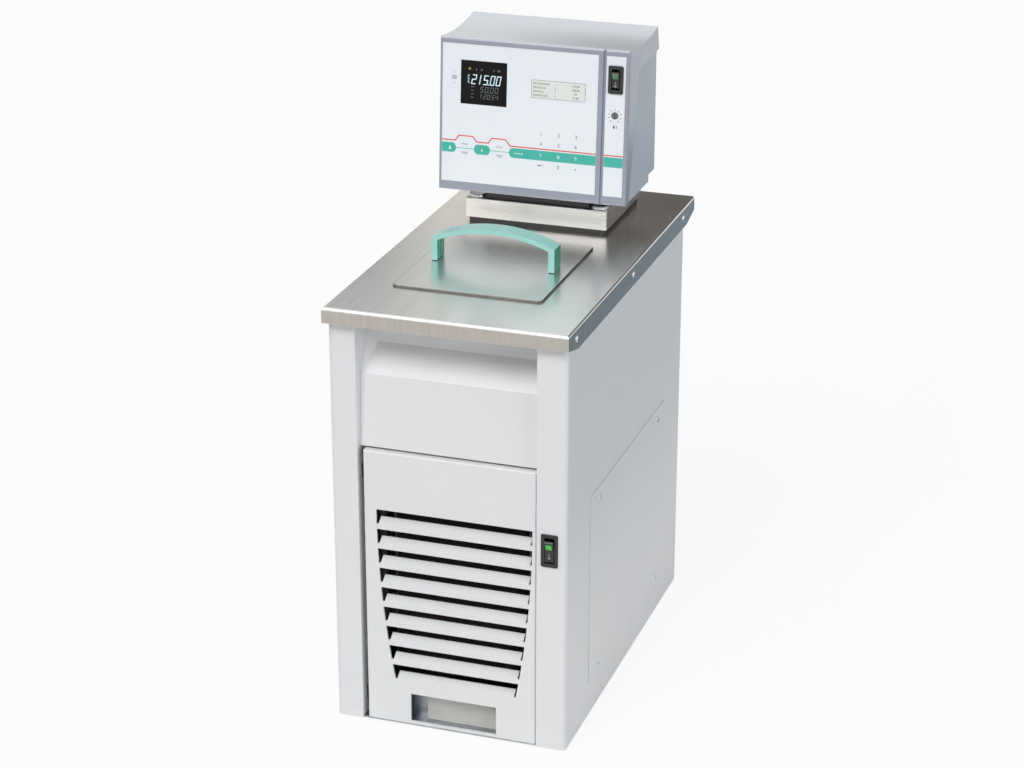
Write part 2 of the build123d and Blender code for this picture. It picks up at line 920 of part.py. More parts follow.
def lid_plug(inset):
    """Return the plug that drops into the bath opening, made smaller by an inset."""
    gap = lid_plug_gap + inset
    return round_slab(bath_x - bath_width / 2 + gap, bath_x + bath_width / 2 - gap,
                      bath_front + gap, bath_front + bath_length - gap,
                      plate_top - lid_plug_depth, lid_top - lid_sheet, bath_corner - gap)


def handle_arc(radius_change):
    """Return an arc over the posts, its radius changed, as centre height and radius."""
    half = handle_span / 2
    radius = (half ** 2 + handle_arch_rise ** 2) / (2 * handle_arch_rise)
    crown = lid_top + handle_washer + handle_post_height + handle_arch_rise
    return crown - radius, radius + radius_change


def lid_handle():
    """Bow handle: a wide arched strip on two flat posts."""
    half = handle_span / 2
    foot = lid_top + handle_washer
    shoulder = foot + handle_post_height
    crown = shoulder + handle_arch_rise
    outline = make_face(
        Polyline((-half, shoulder), (-half, foot), (half, foot), (half, shoulder))
        + ThreePointArc((half, shoulder), (0, crown), (-half, shoulder)))
    center_z, inner = handle_arc(-handle_thickness)
    gap = half - handle_post
    gap_shoulder = center_z + math.sqrt(inner ** 2 - gap ** 2)
    hollow = make_face(
        Polyline((-gap, gap_shoulder), (-gap, foot - 1), (gap, foot - 1), (gap, gap_shoulder))
        + ThreePointArc((gap, gap_shoulder), (0, center_z + inner), (-gap, gap_shoulder)))
    y = handle_y + handle_width / 2
    bow = extrude(Plane.XZ.offset(-y) * (Pos(bath_x, 0) * (outline - hollow)),
                  amount=handle_width)
    for side in (-1, 1):
        for offset in (-handle_width / 5, handle_width / 5):
            x = bath_x + side * gap
            bow -= slab(x - handle_groove / 2, x + handle_groove / 2,
                        handle_y + offset - handle_groove / 2,
                        handle_y + offset + handle_groove / 2, foot, shoulder - handle_groove)
    for x in handle_post_centers():
        bow -= rod((x, handle_y, foot), (x, handle_y, foot + handle_post_height / 2),
                   handle_screw_radius)
    return bow


def handle_post_centers():
    """Return the x of the two handle posts."""
    reach = (handle_span - handle_post) / 2
    return (bath_x - reach, bath_x + reach)


def handle_washers():
    """Two dark seats between the lid and the handle's posts."""
    pads = []
    for x in handle_post_centers():
        pad = slab(x - handle_post / 2 + 0.5, x + handle_post / 2 - 0.5,
                   handle_y - handle_width / 2 + 1, handle_y + handle_width / 2 - 1, lid_top,
                   lid_top + handle_washer)
        pads.append(pad - rod((x, handle_y, lid_top - 1), (x, handle_y, lid_top + 2),
                              handle_screw_radius))
    return Compound(pads)


# Circulator base

def base_box(inset, low, high):
    """Return the base's outline between two heights, drawn in by an inset."""
    half = base_width / 2 - inset
    return slab(bath_x - half, bath_x + half, base_front + inset, base_rear - inset, low, high)


def base_plinth():
    """Dark frame gasket between the plate and the stainless base."""
    return (base_box(plinth_inset, plate_top, plinth_top)
            - base_box(plinth_inset + 6 * base_sheet, plate_top, plinth_top))


def base_block():
    """Stainless bridge that carries the head: a box open below, bored for the pump parts."""
    block = base_box(0, plinth_top, base_top)
    front_edge = edge_at(block, (bath_x, base_front, base_top))
    block = fillet(front_edge, base_sheet)
    block -= base_box(base_sheet, plinth_top, base_top - base_sheet)
    lip = base_box(0, plinth_top, plinth_top + base_sheet)
    lip -= base_box(plinth_inset + 6 * base_sheet, plinth_top, plinth_top + base_sheet)
    block += lip
    block -= drop_bores(base_top - 2 * base_sheet, base_top + 1)
    for x in port_places():
        block -= rod((x, base_rear - 2 * base_sheet, port_z), (x, base_rear + 1, port_z),
                     port_bore)
    return block


def drop_bores(low, high):
    """Upright bores for the pump tube, heater leads, probe and float stem."""
    bores = rod((pump_x, pump_y, low), (pump_x, pump_y, high), pump_tube_radius)
    for x, y in heater_leads():
        bores += rod((x, y, low), (x, y, high), heater_radius)
    bores += rod((probe_x, probe_y, low), (probe_x, probe_y, high), probe_radius)
    bores += rod((float_x, float_y, low), (float_x, float_y, high), stem_radius)
    return bores


def head_neck():
    """Dark moulded foot between the base and the head, open in the middle."""
    half = neck_width / 2
    neck = slab(bath_x - half, bath_x + half, drop_front - neck_wall, neck_rear, base_top,
                head_bottom)
    return neck - slab(bath_x - drop_width / 2, bath_x + drop_width / 2, drop_front, drop_rear,
                       base_top, head_bottom)


def clamp_screws():
    """Two flat knurled screws that hold the base down, at its front corners."""
    y = base_front + clamp_radius + 1
    reach = neck_width / 2 + clamp_radius + loose_gap
    return Compound([rod((x, y, base_top), (x, y, base_top + clamp_height), clamp_radius)
                     for x in (bath_x - reach, bath_x + reach)])


def port_places():
    """Return the x of the two pump ports."""
    return (bath_x - port_spacing / 2, bath_x + port_spacing / 2)


def pump_ports():
    """Two hollow threaded stubs on the rear of the base."""
    stubs = []
    for x in port_places():
        stub = rod((x, base_rear, port_z), (x, base_rear + port_length, port_z), port_radius)
        stubs.append(stub - rod((x, base_rear - 1, port_z),
                                (x, base_rear + port_length + 1, port_z), port_bore))
    return Compound(stubs)


def port_cap(x):
    """Hexagonal closing cap of a pump port."""
    far = base_rear + port_length + loose_gap + port_cap_wall
    blank = extrude(Plane.XZ.offset(-far) * (Pos(x, port_z) * RegularPolygon(
        port_cap_radius, 6, major_radius=False)), amount=port_cap_length)
    return blank - rod((x, far - port_cap_length - 1, port_z), (x, far - port_cap_wall, port_z),
                       port_radius + loose_gap)


# Circulator head

def head_point(forward, up):
    """Return a (y, z) point measured from the foot of the head's front."""
    return (head_front + forward, head_bottom + up)


def hood_outline():
    """Side outline of the hood: leaning front, saddle top, rear lip and tapering side."""
    foot = head_point(0, 0)
    brow = head_point(head_lean, head_height)
    dip = head_point(hood_shoulder, head_height - saddle_dip)
    back = head_point(head_depth - hood_rear_lean, head_rear_height)
    lines = Line(foot, brow) + ThreePointArc(brow, dip, back)
    lines += Polyline(back, head_point(head_depth, hood_skirt_height),
                      head_point(hood_shoulder, hood_shoulder_height), head_point(hood_foot, 0),
                      foot)
    return make_face(lines)


def head_hood():
    """One moulding: the front bezel, the saddle top and the tapering side bands."""
    left = head_x - head_side
    hood = extrude(Plane.YZ.offset(left) * hood_outline(), amount=head_width)
    front_face = hood.faces().sort_by(Axis((0, 0, 0), -head_face.z_dir))[0]
    hood = fillet(front_face.edges(), hood_edge)
    low = head_height - saddle_dip - hood_wall
    void = [head_point(hood_wall * 1.2, hood_wall),
            head_point(head_lean + hood_wall, low),
            head_point(head_depth - hood_rear_lean - hood_wall, low),
            head_point(head_depth - hood_wall, hood_skirt_height - 4 * hood_wall),
            head_point(hood_shoulder + 4 * hood_wall, hood_shoulder_height - 4 * hood_wall),
            head_point(hood_foot + 4 * hood_wall, hood_wall)]
    hood -= prism_x(void, left + hood_wall, head_x + head_side - hood_wall)
    hood -= on_foil(main_foil_left, main_foil_width, foil_pocket, 0)
    hood -= on_foil(strip_foil_left, strip_foil_width, foil_pocket, 0)
    groove_x = strip_foil_left - groove_width / 2 - loose_gap
    hood -= on_head_face(groove_x, head_height / 2, 0,
                         Box(groove_width, 2 * head_height, 2 * groove_depth))
    hood -= switch_hole(head_switch_frame(), head_switch_width, head_switch_height)
    hood -= dial_bore(dial_radius + loose_gap)
    return hood


def on_foil(left, width, depth, lift):
    """Return a foil's rectangle sunk into the front by depth and lifted off its floor."""
    plate = Box(width, foil_height, depth, align=(Align.MIN, Align.MIN, Align.MIN))
    return on_head_face(left, foil_bottom, lift - foil_pocket, plate)


def window_plate(center_x, center_z, width, height):
    """Return a display window at the foil's level."""
    plate = Box(width, height, foil_sheet, align=(Align.CENTER, Align.CENTER, Align.MIN))
    return on_head_face(center_x, center_z, -foil_pocket, plate)


def main_foil():
    """Membrane panel with the keypad, cut out for the two displays."""
    foil = on_foil(main_foil_left, main_foil_width, foil_sheet, 0)
    foil -= window_plate(vfd_center_x, vfd_center_z, vfd_width, vfd_height)
    return foil - window_plate(lcd_center_x, lcd_center_z, lcd_width, lcd_height)


def strip_foil():
    """Narrow membrane strip with the switch and the cut-out dial."""
    foil = on_foil(strip_foil_left, strip_foil_width, foil_sheet, 0)
    foil -= switch_hole(head_switch_frame(), head_switch_width, head_switch_height)
    return foil - dial_bore(dial_radius + loose_gap)


def dial_center(depth):
    """Return the dial's centre on the head face at a depth."""
    x = strip_foil_left + strip_foil_width / 2
    return head_face.from_local_coords((x, dial_z, depth))


def dial_bore(radius):
    """Bore for the over-temperature adjuster."""
    return rod(dial_center(-3 * hood_wall), dial_center(1), radius)


def overtemperature_dial():
    """Slotted adjuster of the over-temperature cut-out."""
    dial = rod(dial_center(-2 * hood_wall), dial_center(foil_sheet - foil_pocket), dial_radius)
    slot = Box(dial_slot, 4 * dial_radius, 2 * dial_slot)
    x = strip_foil_left + strip_foil_width / 2
    return dial - on_head_face(x, dial_z, foil_sheet - foil_pocket, slot)


def dial_unit():
    """Cut-out thermostat behind the front, which carries the adjuster."""
    x = strip_foil_left + strip_foil_width / 2
    case = Box(4 * dial_radius, 4 * dial_radius, 3 * hood_wall,
               align=(Align.CENTER, Align.CENTER, Align.MAX))
    case = on_head_face(x, dial_z, -hood_wall * 1.2 - loose_gap, case)
    return case - dial_bore(dial_radius + 0.1)


def casing_rear():
    """Depth of the casing's rear face."""
    return head_rear - 2 * casing_inset


def casing_outline(inset, reach):
    """Side outline of the casing below the hood, its seam edge moved out by a reach."""
    rear = casing_rear() - inset
    low = head_bottom + inset
    foot = head_front + hood_foot + seam - reach
    shoulder = head_front + hood_shoulder + seam - reach
    return [(foot, low), (shoulder, head_bottom + hood_shoulder_height - seam + reach),
            (rear, head_bottom + hood_skirt_height - seam + reach), (rear, low)]


def head_casing():
    """Paler rear casing of the head: sides, back and floor, closed above by the hood."""
    half = head_side - casing_inset
    casing = prism_x(casing_outline(0, 0), head_x - half, head_x + half)
    middle_z = head_bottom + hood_skirt_height / 2
    rear_edges = [edge_at(casing, (head_x + side * half, casing_rear(), middle_z))
                  for side in (-1, 1)]
    casing = fillet(rear_edges, casing_corner)
    inner = half - casing_wall
    casing -= prism_x(casing_outline(casing_wall, 6 * casing_wall), head_x - inner,
                      head_x + inner)
    step = casing_rear() - casing_step_length
    step_top = head_bottom + casing_step_height
    casing += slab(head_x - inner, head_x + inner, step - casing_wall, casing_rear() - casing_wall,
                   head_bottom + casing_wall, step_top + casing_wall)
    casing -= slab(head_x - half, head_x + half, step, casing_rear(), head_bottom, step_top)
    casing -= inlet_hole(head_inlet_frame())
    casing -= slab(bath_x - drop_width / 2, bath_x + drop_width / 2, drop_front, drop_rear,
                   head_bottom - 1, head_bottom + casing_wall)
    return casing


def motor_plate():
    """Steel plate over the opening in the head's floor, bored for what hangs below it."""
    low = head_bottom + casing_wall
    lap = 1.5 * casing_wall
    plate = slab(bath_x - drop_width / 2 - lap, bath_x + drop_width / 2 + lap, drop_front - lap,
                 drop_rear + lap, low, low + casing_wall)
    return plate - drop_bores(low - 1, low + casing_wall + 1)


def pump_motor():
    """Round pump motor on the motor plate."""
    low = head_bottom + 2 * casing_wall
    motor = rod((pump_x, pump_y, low), (pump_x, pump_y, low + motor_height), motor_radius)
    motor = fillet(motor.edges().filter_by(GeomType.CIRCLE).sort_by(Axis.Z)[-1], 3)
    return motor - rod((pump_x, pump_y, low - 1), (pump_x, pump_y, low + motor_bore_depth),
                       shaft_radius + run_gap)


def pump_housing():
    """Pump tube with a scroll at its foot, open below as the inlet."""
    top = head_bottom + 2 * casing_wall
    tube = rod((pump_x, pump_y, pump_bottom), (pump_x, pump_y, top), pump_tube_radius)
    tube += rod((pump_x, pump_y, pump_bottom), (pump_x, pump_y, pump_bottom + volute_height),
                volute_radius)
    wall = pump_tube_wall
    tube -= rod((pump_x, pump_y, pump_bottom + volute_height - wall), (pump_x, pump_y, top + 1),
                pump_tube_radius - wall)
    tube -= rod((pump_x, pump_y, pump_bottom + wall),
                (pump_x, pump_y, pump_bottom + volute_height - wall), volute_radius - wall)
    tube -= rod((pump_x, pump_y, pump_bottom - 1), (pump_x, pump_y, pump_bottom + 2 * wall),
                pump_tube_radius - wall)
    middle = pump_bottom + volute_height / 2
    tube -= rod((pump_x, pump_y, middle), (pump_x, pump_y - 2 * volute_radius, middle),
                volute_height / 4)
    return tube


def pump_shaft():
    """Pump shaft with its impeller."""
    low = pump_bottom + pump_tube_wall + run_gap
    top = head_bottom + 2 * casing_wall + shaft_entry
    shaft = rod((pump_x, pump_y, low), (pump_x, pump_y, top), shaft_radius)
    shaft += rod((pump_x, pump_y, low), (pump_x, pump_y, low + pump_tube_wall), impeller_radius)
    for index in range(impeller_blades):
        vane = Box(impeller_radius - 0.2, pump_tube_wall, impeller_height,
                   align=(Align.MIN, Align.CENTER, Align.MIN))
        shaft += Pos(pump_x, pump_y, low) * Rot(0, 0, index * 360 / impeller_blades) * vane
    return shaft


def heater_leads():
    """Return the (x, y) of the heater's two upright leads."""
    return [(pump_x + heater_lead, pump_y - heater_half), (pump_x - heater_half,
                                                           pump_y - heater_half)]


def heater_coil():
    """Tubular heater: turns around the pump tube and two leads up to the head."""
    top = head_bottom + 2 * casing_wall
    near, far = pump_y - heater_half, pump_y + heater_half
    left, right = pump_x - heater_half, pump_x + heater_half
    points = [(pump_x + heater_lead, near, top), (pump_x + heater_lead, near, heater_bottom)]
    loop = [(left, near), (left, far), (right, far), (right, near)]
    steps = 4 * heater_turns
    for index in range(steps):
        x, y = loop[index % 4]
        points.append((x, y, heater_bottom + index * heater_pitch / 4))
    points.append((left, near, heater_bottom + steps * heater_pitch / 4))
    points.append((left, near, top))
    bends = [heater_radius * 2] + [heater_bend] * steps + [heater_radius * 2]
    return pipe(points, heater_radius, bends)


def temperature_probe():
    """Straight sensor tube with a round tip."""
    top = head_bottom + 2 * casing_wall
    low = head_bottom - probe_length
    probe = rod((probe_x, probe_y, low), (probe_x, probe_y, top), probe_radius)
    return fillet(probe.edges().filter_by(GeomType.CIRCLE).sort_by(Axis.Z)[0], probe_radius * 0.9)


def float_stem():
    """Stem of the level switch with a stop below the float."""
    top = head_bottom + 2 * casing_wall
    low = float_low - run_gap
    stem = rod((float_x, float_y, low - 2), (float_x, float_y, top), stem_radius)
    return stem + rod((float_x, float_y, low - 2), (float_x, float_y, low), 2 * stem_radius)


def level_float():
    """Ring float that rises on the stem."""
    ring = rod((float_x, float_y, float_low), (float_x, float_y, float_low + float_height),
               float_radius)
    ring = fillet(ring.edges().filter_by(GeomType.CIRCLE), 2)
    return ring - rod((float_x, float_y, float_low - 1),
                      (float_x, float_y, float_low + float_height + 1), stem_radius + loose_gap)


def head_board():
    """Circuit board on posts behind the displays."""
    board = Box(board_width, board_height, board_sheet,
                align=(Align.CENTER, Align.CENTER, Align.MAX))
    relay = Box(relay_width, relay_height, relay_depth,
                align=(Align.CENTER, Align.CENTER, Align.MAX))
    post = Cylinder(board_post_radius, 4 * hood_wall - hood_wall * 1.3,
                    align=(Align.CENTER, Align.CENTER, Align.MIN))
    depth = -4 * hood_wall
    unit = Pos(0, 0, depth) * board
    for step in (-1, 0, 1):
        x = step * relay_pitch - relay_pitch / 3
        unit += Pos(x, relay_rise, depth - board_sheet) * relay
    across = board_width / 2 - board_post_inset
    along = board_height / 2 - board_post_inset
    for x, z in corners(-across, across, -along, along):
        unit += Pos(x, z, depth) * post
    return on_head_face(board_x, board_z, 0, unit)


# Refrigeration

def condenser():
    """Finned condenser between two end plates that stand on the pan."""
    core = slab(condenser_left, condenser_right, condenser_front, condenser_back,
                condenser_bottom, condenser_top)
    pitch = (condenser_right - condenser_left) / (fin_count + 1)
    for index in range(fin_count):
        x = condenser_left + (index + 1) * pitch
        core -= slab(x - pitch / 5, x + pitch / 5, condenser_front,
                     condenser_front + fin_groove_depth, condenser_bottom, condenser_top)
    for x in (condenser_left - condenser_end, condenser_right):
        core += slab(x, x + condenser_end, condenser_front, condenser_back, pan_top,
                     condenser_top)
    rise = (condenser_top - condenser_bottom) / tube_rows
    middle = (condenser_front + condenser_back) / 2
    far = condenser_right + condenser_end
    for index in range(tube_rows):
        z = condenser_bottom + (index + 0.5) * rise
        core += rod((far - 1, middle - bend_radius, z), (far + 5, middle - bend_radius, z),
                    bend_radius)
    return core


def fan_shroud():
    """Sheet behind the condenser with the fan's ring."""
    back = condenser_back + shroud_sheet
    shroud = slab(condenser_left, condenser_right, condenser_back, back, condenser_bottom,
                  condenser_top)
    inner = fan_radius + fan_tip_gap
    center = (condenser_x, condenser_back, fan_center_z)
    end = (condenser_x, condenser_back + shroud_ring, fan_center_z)
    shroud += rod(center, end, inner + shroud_sheet)
    return shroud - rod((condenser_x, condenser_back - 1, fan_center_z),
                        (condenser_x, condenser_back + shroud_ring + 1, fan_center_z), inner)


def fan_rotor():
    """Hub, shaft stub and pitched blades of the condenser fan."""
    front = condenser_back + shroud_sheet
    middle = (front + fan_back) / 2
    hub = rod((condenser_x, front, fan_center_z), (condenser_x, fan_back, fan_center_z),
              fan_hub_radius)
    hub += rod((condenser_x, fan_back, fan_center_z),
               (condenser_x, fan_back + 6, fan_center_z), shaft_radius)
    reach = fan_radius + 6
    disc = rod((condenser_x, front, fan_center_z), (condenser_x, fan_back, fan_center_z),
               fan_radius)
    for index in range(fan_blades):
        blade = Box(fan_chord, fan_blade_sheet, reach, align=(Align.CENTER, Align.CENTER, Align.MIN))
        blade = Rot(0, 0, fan_pitch_angle) * blade
        blade = Rot(0, index * 360 / fan_blades, 0) * blade
        hub += Pos(condenser_x, middle, fan_center_z) * blade & disc
    return hub


def fan_motor():
    """Motor of the condenser fan."""
    front = fan_back + 6 + loose_gap
    motor = rod((condenser_x, front, fan_center_z),
                (condenser_x, front + fan_motor_length, fan_center_z), fan_motor_radius)
    return fillet(motor.edges().filter_by(GeomType.CIRCLE), 3)


def fan_bracket():
    """Folded bracket that carries the fan motor from the pan."""
    front = fan_back + 6 + loose_gap + fan_motor_length
    half = bracket_width / 2
    wall = slab(condenser_x - half, condenser_x + half, front, front + bracket_sheet,
                pan_top, fan_center_z + fan_motor_radius)
    foot = slab(condenser_x - half, condenser_x + half, front, front + bracket_foot,
                pan_top, pan_top + bracket_sheet)
    return wall + foot


def compressor():
    """Hermetic compressor: a domed can on a foot plate, with its terminal box."""
    low = compressor_foot_z + compressor_foot_sheet
    can = rod((compressor_x, compressor_y, low), (compressor_x, compressor_y, compressor_top),
              compressor_radius)
    rim = can.edges().filter_by(GeomType.CIRCLE).sort_by(Axis.Z)[-1]
    can = fillet(rim, compressor_dome)
    half_x, half_y = compressor_foot_width / 2, compressor_foot_length / 2
    foot = round_slab(compressor_x - half_x, compressor_x + half_x, compressor_y - half_y,
                      compressor_y + half_y, compressor_foot_z, low, grommet_radius)
    side = compressor_x + compressor_radius
    box = slab(side - terminal_lap, side + terminal_reach, compressor_y - terminal_width / 2,
               compressor_y + terminal_width / 2, terminal_bottom,
               terminal_bottom + terminal_height)
    return can + foot + box


def compressor_grommets():
    """Four rubber mounts under the compressor's foot plate."""
    x, y = compressor_foot_width / 2 - grommet_radius, compressor_foot_length / 2 - grommet_radius
    places = corners(compressor_x - x, compressor_x + x, compressor_y - y, compressor_y + y)
    return Compound([rod((px, py, pan_top), (px, py, compressor_foot_z), grommet_radius)
                     for px, py in places])


def filter_drier():
    """Copper drier, drawn in at both ends."""
    top = drier_bottom + drier_length
    neck = 10
    body = rod((drier_x, drier_y, drier_bottom + neck), (drier_x, drier_y, top - neck),
               drier_radius)
    body = fillet(body.edges().filter_by(GeomType.CIRCLE), 5)
    return body + rod((drier_x, drier_y, drier_bottom), (drier_x, drier_y, top), 4)


def compressor_port(x):
    """Return the (x, y) point where a pipe meets the compressor's can."""
    return (x, compressor_y - math.sqrt(compressor_radius ** 2 - (x - compressor_x) ** 2))


def discharge_pipe():
    """Hot gas pipe from the compressor to the top of the condenser."""
    x, y = compressor_port(compressor_x - port_offset)
    turn = compressor_y - compressor_radius - discharge_turn
    end_x = condenser_right - pipe_inset
    middle = (condenser_front + condenser_back) / 2
    points = [(x, y + 1, discharge_level), (x, turn, discharge_level), (x, turn, pipe_level),
              (end_x, turn, pipe_level), (end_x, middle, pipe_level),
              (end_x, middle, condenser_top)]
    tube = pipe(points, refrigerant_radius, [refrigerant_bend] * 3 + [refrigerant_bend / 1.5])
    return tube - rod((compressor_x, compressor_y, 0), (compressor_x, compressor_y, foam_bottom),
                      compressor_radius)


def liquid_pipe():
    """Liquid pipe from the condenser to the drier."""
    middle = (condenser_front + condenser_back) / 2
    points = [(drier_x, middle, condenser_top), (drier_x, middle, pipe_level),
              (drier_x, drier_y, pipe_level), (drier_x, drier_y, drier_bottom + drier_length)]
    return pipe(points, refrigerant_radius, [refrigerant_bend / 1.5, refrigerant_bend])


def capillary():
    """Thin pipe from the drier to the coil's inlet below the foam."""
    side_x = drier_x - capillary_side
    x, y = coil_exits()[1]
    level = pipe_level - capillary_drop
    low = drier_bottom - capillary_loop
    points = [(drier_x, drier_y, drier_bottom), (drier_x, drier_y, low), (side_x, drier_y, low),
              (side_x, drier_y, level), (side_x, y, level), (x, y, level), (x, y, foam_bottom)]
    return pipe(points, capillary_radius, 6)


def suction_pipe():
    """Cold gas pipe from the coil back to the compressor."""
    out_x, out_y = coil_exits()[0]
    x, y = compressor_port(compressor_x + port_offset)
    turn = compressor_y - compressor_radius - suction_turn
    level = pipe_level - suction_drop
    points = [(out_x, out_y, foam_bottom), (out_x, out_y, level), (out_x, turn, level),
              (out_x, turn, suction_level), (x, turn, suction_level),
              (x, y + 1, suction_level)]
    tube = pipe(points, coil_radius, refrigerant_bend)
    return tube - rod((compressor_x, compressor_y, 0), (compressor_x, compressor_y, foam_bottom),
                      compressor_radius)


# Drain

def drain_pipe():
    """Pipe from the tank's outlet to the drain tap behind the grille."""
    top = tank_floor - tank_sheet
    level = pipe_level - drain_drop
    points = [(drain_outlet_x, drain_outlet_y, top), (drain_outlet_x, drain_outlet_y, level),
              (drain_x, drain_outlet_y, level), (drain_x, drain_y, level),
              (drain_x, drain_y, valve_bottom + valve_height)]
    return pipe(points, drain_radius, 8)


def drain_valve():
    """Tap body with its outlet nozzle pointing forward."""
    half = valve_size / 2
    top = valve_bottom + valve_height
    body = slab(drain_x - half, drain_x + half, drain_y - half, drain_y + half, valve_bottom, top)
    nozzle_z = valve_bottom + half + 1
    body += rod((drain_x, drain_y, nozzle_z), (drain_x, drain_y - half - nozzle_length, nozzle_z),
                drain_radius)
    return body - rod((drain_x, drain_y, nozzle_z),
                      (drain_x, drain_y - half - nozzle_length - 1, nozzle_z), drain_radius - 2)


def drain_knob():
    """Wing knob that turns the tap."""
    half = valve_size / 2
    z = valve_bottom + valve_height - half
    start = drain_y - half - loose_gap
    knob = rod((drain_x, start, z), (drain_x, start - knob_length, z), knob_radius / 2)
    knob += slab(drain_x - knob_radius, drain_x + knob_radius, start - knob_length,
                 start - knob_length / 3, z - 2, z + 2)
    return knob


pieces = {
    "cabinet_shell": cabinet_shell,
    "base_pan": base_pan,
    "feet": feet,
    "kick_cover": kick_cover,
    "side_cover": side_cover,
    "side_cover_screws": side_cover_screws,
    "rear_cover": rear_cover,
    "rear_cover_screws": rear_cover_screws,
    "upper_panel": upper_panel,
    "grille_panel": grille_panel,
    "grille_clips": grille_clips,
    "cabinet_switch_bezel": lambda: switch_bezel(cabinet_switch_frame(), cabinet_switch_width,
                                                 cabinet_switch_height),
    "cabinet_rocker": lambda: rocker(cabinet_switch_frame(), cabinet_switch_width,
                                     cabinet_switch_height),
    "cabinet_mains_inlet": lambda: mains_inlet(cabinet_inlet_frame()),
    "top_plate": top_plate,
    "plate_screws": plate_screws,
    "bath_tank": bath_tank,
    "tank_foam": tank_foam,
    "cooling_coil": cooling_coil,
    "lid": lid,
    "lid_handle": lid_handle,
    "handle_washers": handle_washers,
    "base_plinth": base_plinth,
    "base_block": base_block,
    "head_neck": head_neck,
    "clamp_screws": clamp_screws,
    "pump_ports": pump_ports,
    "port_cap_left": lambda: port_cap(port_places()[0]),
    "port_cap_right": lambda: port_cap(port_places()[1]),
    "head_hood": head_hood,
    "head_casing": head_casing,
    "main_foil": main_foil,
    "strip_foil": strip_foil,
    "vfd_window": lambda: window_plate(vfd_center_x, vfd_center_z, vfd_width, vfd_height),
    "lcd_window": lambda: window_plate(lcd_center_x, lcd_center_z, lcd_width, lcd_height),
    "head_switch_bezel": lambda: switch_bezel(head_switch_frame(), head_switch_width,
                                              head_switch_height),
    "head_rocker": lambda: rocker(head_switch_frame(), head_switch_width, head_switch_height),
    "overtemperature_dial": overtemperature_dial,
    "dial_unit": dial_unit,
    "head_mains_inlet": lambda: mains_inlet(head_inlet_frame()),
    "motor_plate": motor_plate,
    "pump_motor": pump_motor,
    "pump_housing": pump_housing,
    "pump_shaft": pump_shaft,
    "heater_coil": heater_coil,
    "temperature_probe": temperature_probe,
    "float_stem": float_stem,
    "level_float": level_float,
    "head_board": head_board,
    "condenser": condenser,
    "fan_shroud": fan_shroud,
    "fan_rotor": fan_rotor,
    "fan_motor": fan_motor,
    "fan_bracket": fan_bracket,
    "compressor": compressor,
    "compressor_grommets": compressor_grommets,
    "filter_drier": filter_drier,
    "refrigerant_pipes": lambda: Compound([discharge_pipe(), liquid_pipe(), capillary(),
                                           suction_pipe()]),
    "drain_valve": lambda: Compound([drain_pipe(), drain_valve()]),
    "drain_knob": drain_knob,
}

os.makedirs("parts", exist_ok=True)
for name, build in pieces.items():
    export_step(build(), os.path.join("parts", f"{name}.step"))
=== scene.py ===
"""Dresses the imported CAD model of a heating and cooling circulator.

Everything is in metres in the frame's own coordinates: +Z is up, the front faces -Y and
+X is the viewer's right. Sizes written in millimetres are multiplied by MM.
"""

from __future__ import annotations

import logging
import math
from dataclasses import dataclass, field
from enum import Enum
from typing import Any, Callable, Iterable, Sequence

import bmesh
import bpy
from mathutils import Matrix, Vector


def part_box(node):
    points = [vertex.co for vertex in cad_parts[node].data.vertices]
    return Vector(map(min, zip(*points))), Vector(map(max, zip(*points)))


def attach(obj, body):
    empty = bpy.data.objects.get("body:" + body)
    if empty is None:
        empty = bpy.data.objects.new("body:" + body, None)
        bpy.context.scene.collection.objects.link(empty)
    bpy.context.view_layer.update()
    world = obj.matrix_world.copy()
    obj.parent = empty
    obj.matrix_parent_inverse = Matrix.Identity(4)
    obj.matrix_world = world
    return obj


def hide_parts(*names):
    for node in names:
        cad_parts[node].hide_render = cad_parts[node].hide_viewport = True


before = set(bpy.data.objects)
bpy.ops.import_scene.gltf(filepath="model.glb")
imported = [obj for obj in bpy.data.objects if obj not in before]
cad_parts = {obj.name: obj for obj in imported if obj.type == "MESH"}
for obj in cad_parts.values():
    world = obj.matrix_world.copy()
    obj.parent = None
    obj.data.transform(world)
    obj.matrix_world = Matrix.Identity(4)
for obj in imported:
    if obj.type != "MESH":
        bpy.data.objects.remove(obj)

LOG = logging.getLogger("circulator")
MM = 0.001
DOUBLES = 2e-6
WHITE = (1.0, 1.0, 1.0)

Colour = tuple[float, float, float]
Point2 = tuple[float, float]
Point3 = tuple[float, float, float]


def srgb(red: int, green: int, blue: int) -> Colour:
    """Turns a screen colour into the linear one that shaders use.

    Args:
        red: Red, 0 to 255.
        green: Green, 0 to 255.
        blue: Blue, 0 to 255.

    Returns:
        The linear colour.
    """
    def linear(level: int) -> float:
        share = level / 255
        return share / 12.92 if share <= 0.04045 else ((share + 0.055) / 1.055) ** 2.4

    return linear(red), linear(green), linear(blue)


def shade(colour: Colour, factor: float) -> Colour:
    """Multiplies a colour by a number."""
    return colour[0] * factor, colour[1] * factor, colour[2] * factor


def link(*pieces: bpy.types.Object) -> None:
    """Puts objects into the scene."""
    for piece in pieces:
        bpy.context.scene.collection.objects.link(piece)


def evaluated(piece: bpy.types.Object) -> bpy.types.Mesh:
    """Returns the mesh that a linked object has with its modifiers made plain."""
    bpy.context.view_layer.update()
    graph = bpy.context.evaluated_depsgraph_get()
    return bpy.data.meshes.new_from_object(piece.evaluated_get(graph))


def stored(mesh: bmesh.types.BMesh, name: str) -> bpy.types.Mesh:
    """Stores a mesh in memory under a name and frees it."""
    data = bpy.data.meshes.new(name)
    mesh.to_mesh(data)
    mesh.free()
    return data


def smoothed(data: bpy.types.Mesh) -> bpy.types.Mesh:
    """Makes all faces of a mesh smooth and returns it."""
    data.polygons.foreach_set("use_smooth", [True] * len(data.polygons))
    return data


